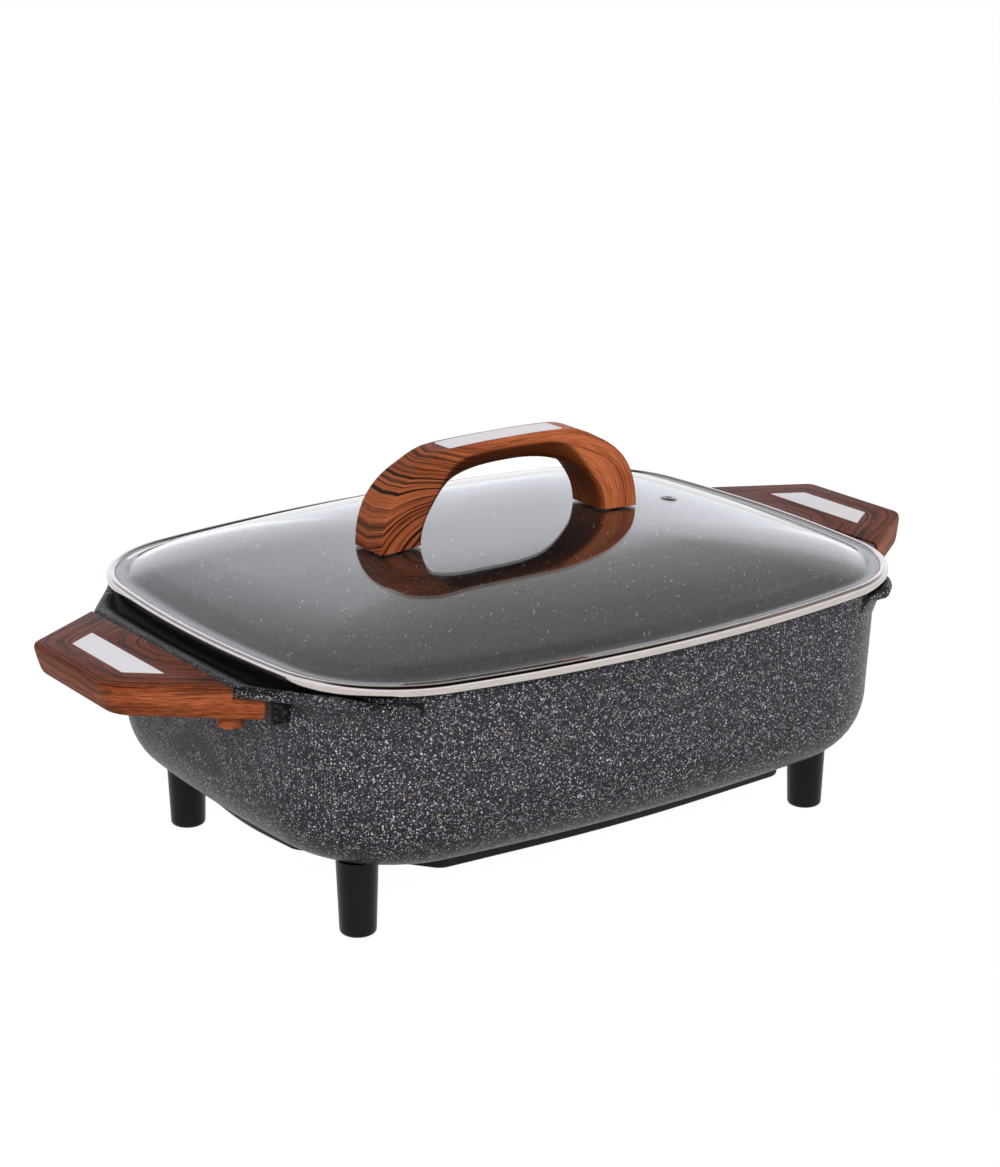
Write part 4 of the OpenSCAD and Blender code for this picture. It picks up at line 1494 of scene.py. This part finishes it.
# ---------------------------------------------------------------------------
# Geometry Nodes


def new_tree(name: str, sizes: Sequence[str]) -> tuple[Tree, Any]:
    """A Geometry Nodes tree with named sizes and a material.

    Args:
        name: The tree's name.
        sizes: Names of its length inputs.

    Returns:
        The tree and the sockets of its inputs.
    """
    tree = bpy.data.node_groups.new(name, "GeometryNodeTree")
    sockets = [("Geometry", "Geometry")] + [(size, "Float") for size in sizes]
    for label, kind in sockets + [("Material", "Material")]:
        tree.interface.new_socket(label, in_out="INPUT", socket_type=f"NodeSocket{kind}")
    tree.interface.new_socket("Geometry", in_out="OUTPUT", socket_type="NodeSocketGeometry")
    return tree, add(tree, "NodeGroupInput").outputs


def end_tree(tree: Tree, given: Any, made: Node) -> Tree:
    """Ends a tree in real, painted mesh.

    Args:
        tree: The tree.
        given: The sockets of its inputs.
        made: The node that made its geometry.

    Returns:
        The same tree.
    """
    real = add(tree, "GeometryNodeRealizeInstances", {"Geometry": made})
    painted = {"Geometry": real, "Material": given["Material"]}
    add(tree, "NodeGroupOutput", {0: add(tree, "GeometryNodeSetMaterial", painted)})
    return tree


def run_nodes(piece: Piece, tree: Tree, sizes: dict[str, float], finish: Finish) -> Piece:
    """Runs a tree on a piece and keeps the result as plain mesh.

    Args:
        piece: The piece whose mesh feeds the tree.
        tree: The tree.
        sizes: Millimetres for each named length.
        finish: The finish of what the tree makes.

    Returns:
        The same piece.
    """
    values = {name: size * MM for name, size in sizes.items()} | {"Material": finish.material()}
    step = piece.modifiers.new(tree.name, "NODES")
    step.node_group = tree
    for item in tree.interface.items_tree:
        if item.item_type == "SOCKET" and item.in_out == "INPUT" and item.name in values:
            step[item.identifier] = values[item.name]
    settle(piece)
    return piece


def rim_tree() -> Tree:
    """A tree that sweeps a soft-cornered section along a closed outline."""
    tree, given = new_tree("rim_sweep", ("Depth", "Height", "Bend"))
    path = add(tree, "GeometryNodeMeshToCurve", {"Mesh": given["Geometry"]})
    upright = add(tree, "GeometryNodeSetCurveNormal", {"Curve": path}, mode="Z_UP")
    sides = {"Width": given["Depth"], "Height": given["Height"]}
    box = add(tree, "GeometryNodeCurvePrimitiveQuadrilateral", sides)
    bends = {"Curve": box, "Radius": given["Bend"], "Count": 6, "Limit Radius": True}
    soft = add(tree, "GeometryNodeFilletCurve", bends, mode="POLY")
    swept = add(tree, "GeometryNodeCurveToMesh", {"Curve": upright, "Profile Curve": soft})
    return end_tree(tree, given, add(tree, "GeometryNodeSetShadeSmooth", {0: swept}))


@dataclass(frozen=True)
class Screw:
    """A cross-recessed screw, head down: its sizes as shares of its shank's diameter."""

    head_radius: float = 0.925
    flange: float = 0.36
    crown_radius: float = 0.67
    crown: float = 0.29
    slot: Place = (0.92, 0.2, 0.65)
    slot_down: float = 0.72

    def tree(self) -> Tree:
        """A tree that puts a screw at every point it is given, scaled by its diameter."""
        tree, given = new_tree("screw_set", ("Diameter", "Length"))
        disc = {"Vertices": 32, "Radius": self.head_radius, "Depth": self.flange}
        cone = {"Vertices": 32, "Radius Top": self.head_radius, "Depth": self.crown}
        cone["Radius Bottom"] = self.crown_radius
        forms = []
        for kind, sizes, down in (
            ("GeometryNodeMeshCylinder", disc, self.flange / 2),
            ("GeometryNodeMeshCone", cone, self.flange + self.crown),
            ("GeometryNodeMeshCube", {"Size": self.slot}, self.slot_down),
        ):
            moved = {"Geometry": add(tree, kind, sizes), "Translation": (0.0, 0.0, -down)}
            forms.append(add(tree, "GeometryNodeTransform", moved))
        flange, crown, slot = forms
        turned = {"Geometry": slot, "Rotation": (0.0, 0.0, RIGHT_ANGLE)}
        across = add(tree, "GeometryNodeTransform", turned)
        head = add(tree, "GeometryNodeJoinGeometry", {0: [flange, crown]})
        cross = add(tree, "GeometryNodeJoinGeometry", {0: [slot, across]})
        recess = {"Mesh 1": head, "Mesh 2": cross}
        cut = add(tree, "GeometryNodeMeshBoolean", recess, operation="DIFFERENCE")
        shares = {0: given["Length"], 1: given["Diameter"]}
        ratio = add(tree, "ShaderNodeMath", shares, operation="DIVIDE")
        up = {"Direction": (0.0, 0.0, 1.0), "Length": ratio}
        line = add(tree, "GeometryNodeCurvePrimitiveLine", up, mode="DIRECTION")
        ring = add(tree, "GeometryNodeCurvePrimitiveCircle", {"Resolution": 24, "Radius": 0.5})
        swept = {"Curve": line, "Profile Curve": ring, "Fill Caps": True}
        shank = add(tree, "GeometryNodeCurveToMesh", swept)
        whole = add(tree, "GeometryNodeJoinGeometry", {0: [cut, shank]})
        named = {"Name": "lean"}
        lean = add(tree, "GeometryNodeInputNamedAttribute", named, data_type="FLOAT_VECTOR")
        placed = {"Points": given["Geometry"], "Instance": whole, "Rotation": lean}
        placed["Scale"] = given["Diameter"]
        return end_tree(tree, given, add(tree, "GeometryNodeInstanceOnPoints", placed))


@dataclass(frozen=True)
class ScrewSet:
    """One set of like screws: where their heads bear, their sizes and how far each leans."""

    name: str
    node: str
    body: Body
    places: tuple[Place, ...]
    diameter: float
    length: float
    leans: tuple[float, ...] = (0.0, 0.0, 0.0, 0.0)

    def build(self, tree: Tree, zinc: Finish) -> None:
        """Builds the set by the screw tree and fits it.

        Args:
            tree: The tree that makes screws.
            zinc: The screws' finish.
        """
        mesh = bpy.data.meshes.new(self.name)
        mesh.from_pydata((np.array(self.places) * MM).tolist(), [], [])
        carry(mesh, "lean", [(0.0, math.radians(angle), 0.0) for angle in self.leans])
        sizes = {"Diameter": self.diameter, "Length": self.length}
        piece = smooth(run_nodes(linked(self.name, mesh), tree, sizes, zinc), 35)
        fit(piece, self.body, "zinc_steel", zinc, self.node)


def corners(x: float, y: float, z: float) -> tuple[Place, ...]:
    """The four corners of a rectangle at one height."""
    return tuple((i * x, j * y, z) for i in (-1, 1) for j in (-1, 1))


# ---------------------------------------------------------------------------
# Studio


@dataclass(frozen=True)
class Lamp:
    """A soft box: its name, place and side in metres, and power in watts."""

    name: str
    at: Place
    size: float
    power: float


@dataclass
class Studio:
    """Floor, light and camera, in metres."""

    camera_at: Place = (-0.8438, -1.1932, 0.6000)
    looks_at: Place = (0.06994, 0.09777, 0.1003)
    lens: float = 84.33
    sensor: float = 36.0
    lamps_aim: Place = (0.0, 0.0, 0.1)
    lamps: tuple[Lamp, ...] = (
        Lamp("key", (-1.3, -1.8, 1.3), 1.4, 51),
        Lamp("fill", (1.7, -1.3, 0.8), 1.4, 10),
        Lamp("top", (0.3, 0.6, 1.9), 1.6, 7),
    )
    floor_half: float = 6.0
    paper: str = "#909090"
    paper_white: float = 1.1
    paper_shown: float = 0.9
    white: str = "#ffffff"
    sky: str = "#868686"
    wall: Stops = (
        *((0.56, "#f3f4ff"), (0.63, "#e0e0e8"), (0.68, "#bcb8b8")),
        *((0.86, "#8a8480"), (1.0, "#76716d")),
    )
    backdrop: float = 1.45
    backdrop_lean: float = 0.37
    ceiling: float = 0.05
    ceiling_band: Span = (0.72, 0.8)
    ceiling_lean: float = 0.3
    flag: float = 0.4
    flag_at: Place = (-0.1, 0.78, 0.62)
    flag_band: Span = (0.89, 0.97)

    def floor(self) -> None:
        """A pale floor that shows white to the camera and keeps a faint shadow."""
        mesh = bpy.data.meshes.new("floor")
        half = self.floor_half
        square = level(trapezoid(-half, half, half, half), 0.0)
        mesh.from_pydata(square.tolist(), [], [(0, 1, 2, 3)])
        floor = linked("floor", mesh)
        paper = bpy.data.materials.new("white_paper")
        tree = bare_tree(paper)
        seen = add(tree, "ShaderNodeLightPath").outputs
        shown = seen["Is Camera Ray"]
        for kind in ("Is Glossy Ray", "Is Transmission Ray"):
            shown = add(tree, "ShaderNodeMath", {0: shown, 1: seen[kind]}, operation="MAXIMUM")
        much = {0: shown, 1: self.paper_shown}
        share = add(tree, "ShaderNodeMath", much, operation="MULTIPLY")
        matt = add(tree, "ShaderNodeBsdfDiffuse", {"Color": srgb(self.paper)})
        bright = {"Color": srgb(self.white), "Strength": self.paper_white}
        white = add(tree, "ShaderNodeEmission", bright)
        mixed = add(tree, "ShaderNodeMixShader", {0: share, 1: matt, 2: white})
        add(tree, "ShaderNodeOutputMaterial", {"Surface": mixed})
        mesh.materials.append(paper)

    def world(self) -> None:
        """A white room: white to the eye, grey as light, a backdrop and a ceiling in mirrors."""
        world = bpy.data.worlds.new("white_room")
        bpy.context.scene.world = world
        tree = bare_tree(world)
        seen = add(tree, "ShaderNodeLightPath").outputs
        ray = add(tree, "ShaderNodeTexCoord").outputs["Generated"]
        part = add(tree, "ShaderNodeSeparateXYZ", {0: ray}).outputs
        # A bluish white backdrop, lower on the right, that turns into a warm grey wall.
        leaned = {0: part["X"], 1: self.backdrop_lean, 2: part["Z"]}
        up = add(tree, "ShaderNodeMath", leaned, operation="MULTIPLY_ADD")
        wall = add(tree, "ShaderNodeValToRGB", {"Fac": up}, self.wall)
        # A dark ceiling over it, lower towards the camera.
        leaned = {0: part["Y"], 1: -self.ceiling_lean, 2: part["Z"]}
        over = add(tree, "ShaderNodeMath", leaned, operation="MULTIPLY_ADD")
        # A dark flag beyond the far edge, that thins the line of light on the rim's left end.
        towards = {0: ray, 1: self.flag_at}
        dot = add(tree, "ShaderNodeVectorMath", towards, operation="DOT_PRODUCT")
        aside = dot.outputs["Value"]
        dims = []
        for value, (low, high), start, end in (
            (over, self.ceiling_band, self.backdrop, self.ceiling),
            (aside, self.flag_band, 1.0, self.flag),
        ):
            dim = {"Value": value, "From Min": low, "From Max": high}
            dims.append(add(tree, "ShaderNodeMapRange", dim | {"To Min": start, "To Max": end}))
        shown = add(tree, "ShaderNodeMath", {0: dims[0], 1: dims[1]}, operation="MULTIPLY")
        backdrop = add(tree, "ShaderNodeVectorMath", {0: wall, 3: shown}, operation="SCALE")
        # Gloss shows the backdrop; what comes through glass, and to the camera, is white.
        colour = srgb(self.sky)
        for kind, value in (
            ("Is Glossy Ray", backdrop),
            ("Is Transmission Ray", srgb(self.white)),
            ("Is Camera Ray", srgb(self.white)),
        ):
            mixed = {0: seen[kind], 6: colour, 7: value}
            colour = add(tree, "ShaderNodeMix", mixed, data_type="RGBA").outputs[2]
        light = add(tree, "ShaderNodeBackground", {"Color": colour})
        add(tree, "ShaderNodeOutputWorld", {"Surface": light})

    def aimed(self, name: str, data: bpy.types.ID, at: Place, to: Place) -> Piece:
        """A lamp or camera that looks from one place to another.

        Args:
            name: Its name.
            data: The light or the camera.
            at: Its place.
            to: Where it looks.

        Returns:
            The new object.
        """
        made = linked(name, data)
        made.location = at
        made.rotation_euler = (Vector(to) - Vector(at)).to_track_quat("-Z", "Y").to_euler()
        return made

    def light(self) -> None:
        """Soft boxes that neither gloss nor glass shows."""
        for lamp in self.lamps:
            light = bpy.data.lights.new(lamp.name, "AREA")
            light.size = lamp.size
            light.energy = lamp.power
            made = self.aimed(lamp.name, light, lamp.at, self.lamps_aim)
            made.visible_glossy = False
            made.visible_transmission = False

    def camera(self) -> None:
        """The camera at the photograph's place and angle."""
        lens = bpy.data.cameras.new("camera")
        lens.sensor_width = self.sensor
        lens.lens = self.lens
        bpy.context.scene.camera = self.aimed("camera", lens, self.camera_at, self.looks_at)

    def build(self) -> None:
        """Builds the whole studio."""
        bpy.context.scene.view_settings.view_transform = "Standard"
        self.camera()
        self.floor()
        self.world()
        self.light()


def dress_frame(nodes: dict[str, Piece], finishes: dict[str, Finish]) -> None:
    """Gives the CAD nodes that stay their finishes.

    Args:
        nodes: The frame's nodes by name.
        finishes: A finish for each node that stays.
    """
    for name, finish in finishes.items():
        mesh = nodes[name].data
        mesh.materials.clear()
        mesh.materials.append(finish.material())
        LOG.info("%s keeps its CAD form in %s", name, finish.name)


def main() -> None:
    """Builds the skillet piece by piece."""
    logging.basicConfig(level=logging.INFO, format="%(name)s: %(message)s")
    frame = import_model()
    Studio().build()

    nonstick = SpeckledNonstick()
    # The cooking surface: the same coat with few, small flecks, on a ground painted much lighter:
    # painted light on the inside under the glass.
    lit_cooking_face = SpeckledNonstick(
        name="stone_look_nonstick_cooking_face",
        ground=((0.36, "#4c494a"), (0.62, "#575456")),
        flecks=((0.0, "#7a7673"), (0.5, "#aeaaa6"), (0.93, "#f0efed"), (0.97, "#ad8a52")),
        sizes=(FleckSize(2.3, 0.32, 0.3), FleckSize(3.6, 0.24, 0.3)),
        roughness=0.4,
    )
    # The side handles' film, with painted shade on the slabs' tops.
    slab_wood = WoodFilm(name="rosewood_film_on_phenolic_slab")
    # The grip's film: a little lighter, with darker lines and a darker shade tint: painted shade on
    # its underside, which also darkens the left leg.
    arch_wood = WoodFilm(
        name="rosewood_film_on_phenolic_arch",
        grain=Grain.ARCH,
        browns=((0.36, "#84462a"), (0.5, "#b35f38"), (0.64, "#ca754a")),
        streak=(90.0, 1.7, 2.0),
        line_depth=(0.4, 1.0),
        swing=1.6,
        shade="#8c8278",
    )
    # Satin anodised plate: pale silver with a fine straight brushing.
    brushing = (0.4, 12.0, 1.0)
    satin = Metal("aluminium_satin_anodised", "#eeebed", "#e4e1e4", 0.42, 0.04, brushing, 0.12)
    # Polished stainless rim: near mirror, slightly warm.
    steel = Metal("stainless_steel_polished", "#cbc3bd", "#beb6b0", 0.09, 0.03, (8.0, 8.0, 1.0))
    # Zinc-plated screws: bluish grey, dull where the plating is thin.
    zinc = Metal("zinc_plated_steel", "#b9bec4", "#8f959c", 0.32, 0.08, (1.2, 1.2, 1.2))
    # Heater sheath: steel browned by heat.
    sheath = Metal("heat_browned_steel", "#6c655e", "#4c463f", 0.42, 0.08, (6.0, 6.0, 6.0))
    # Contact pins: nickel plate, clean and fairly bright.
    nickel = Metal("nickel_plated_steel", "#cfcbc1", "#b3aea3", 0.2, 0.06, (2.0, 2.0, 2.0))
    # Probe sleeve: plain drawn aluminium.
    drawn = Metal("aluminium_drawn", "#b4b6b8", "#9da0a3", 0.3, 0.06, (20.0, 0.6, 0.6))
    # Vent eyelet: tumbled steel, dull and a little brown.
    eyelet = Metal("stainless_steel_tumbled", "#b3aca6", "#958e89", 0.36, 0.06, (1.5, 1.5, 1.5))
    # Legs and guard: black phenolic, moulded, with a soft sheen.
    phenolic = Moulded("black_phenolic_moulded", "#09090b", "#0f0f11", 0.32, 0.9)
    # Base tray: black heat-proof plastic, a little duller than the legs.
    tray = Moulded("black_nylon_moulded", "#0d0d10", "#141417", 0.42, 1.2)
    # Beads: unglazed steatite, chalky.
    ceramic = Moulded("steatite_ceramic", "#e6e0d2", "#d8d0bf", 0.7, 0.6)
    # Gaskets: dark grey silicone rubber.
    silicone = Moulded("silicone_rubber", "#2b2b2c", "#363637", 0.6, 0.8)
    # Inside of the vent: a near-black disc, painted shadow for the hole.
    hollow = Moulded("painted_vent_shadow", "#0c0c0d", "#121213", 0.6, 0.8)

    rim = Outline(200.0, 164.3, 713.0, 720.0, 75.7)
    foot = Outline(195.5, 149.2, 1056.0, 925.0, 79.0)
    handles, stand, grip = SideHandles(), Stand(), LidGrip()
    Pan(rim, foot).build(nonstick, lit_cooking_face)
    handles.build(slab_wood, satin)
    stand.build(phenolic, tray)
    Lid(rim).build(TemperedGlass(), steel, eyelet, hollow)
    grip.build(arch_wood, satin, silicone, zinc)
    bosses = corners(handles.boss_x, handles.boss_y, handles.top - handles.thickness)
    legs = corners(stand.leg_x, stand.leg_y, stand.seat)
    cover = corners(*stand.cover_screw, stand.cover_bottom)
    x, z = grip.screw_at
    feet = tuple((end * x, 0.0, z) for end, _ in ENDS)
    leans = tuple(end * grip.foot_tilt for end, _ in ENDS)
    screws = Screw().tree()
    for fixings in (
        ScrewSet("handle_fixings", "handle_screws", Body.PAN, bosses, 4.0, 14.1),
        ScrewSet("leg_fixings", "leg_screws", Body.PAN, legs, 4.0, 18.0),
        ScrewSet("cover_fixings", "base_cover_screws", Body.PAN, cover, 4.0, 12.0),
        ScrewSet("grip_fixings", "lid_handle_screws", Body.LID, feet, 5.0, 19.6, leans),
    ):
        fixings.build(screws, zinc)
    dress_frame(
        frame["nodes"],
        {
            "heating_element": sheath,
            "element_insulators": ceramic,
            "terminal_pins": nickel,
            "terminal_guard": phenolic,
            "probe_sleeve": drawn,
        },
    )


if __name__ == "__main__":
    main()
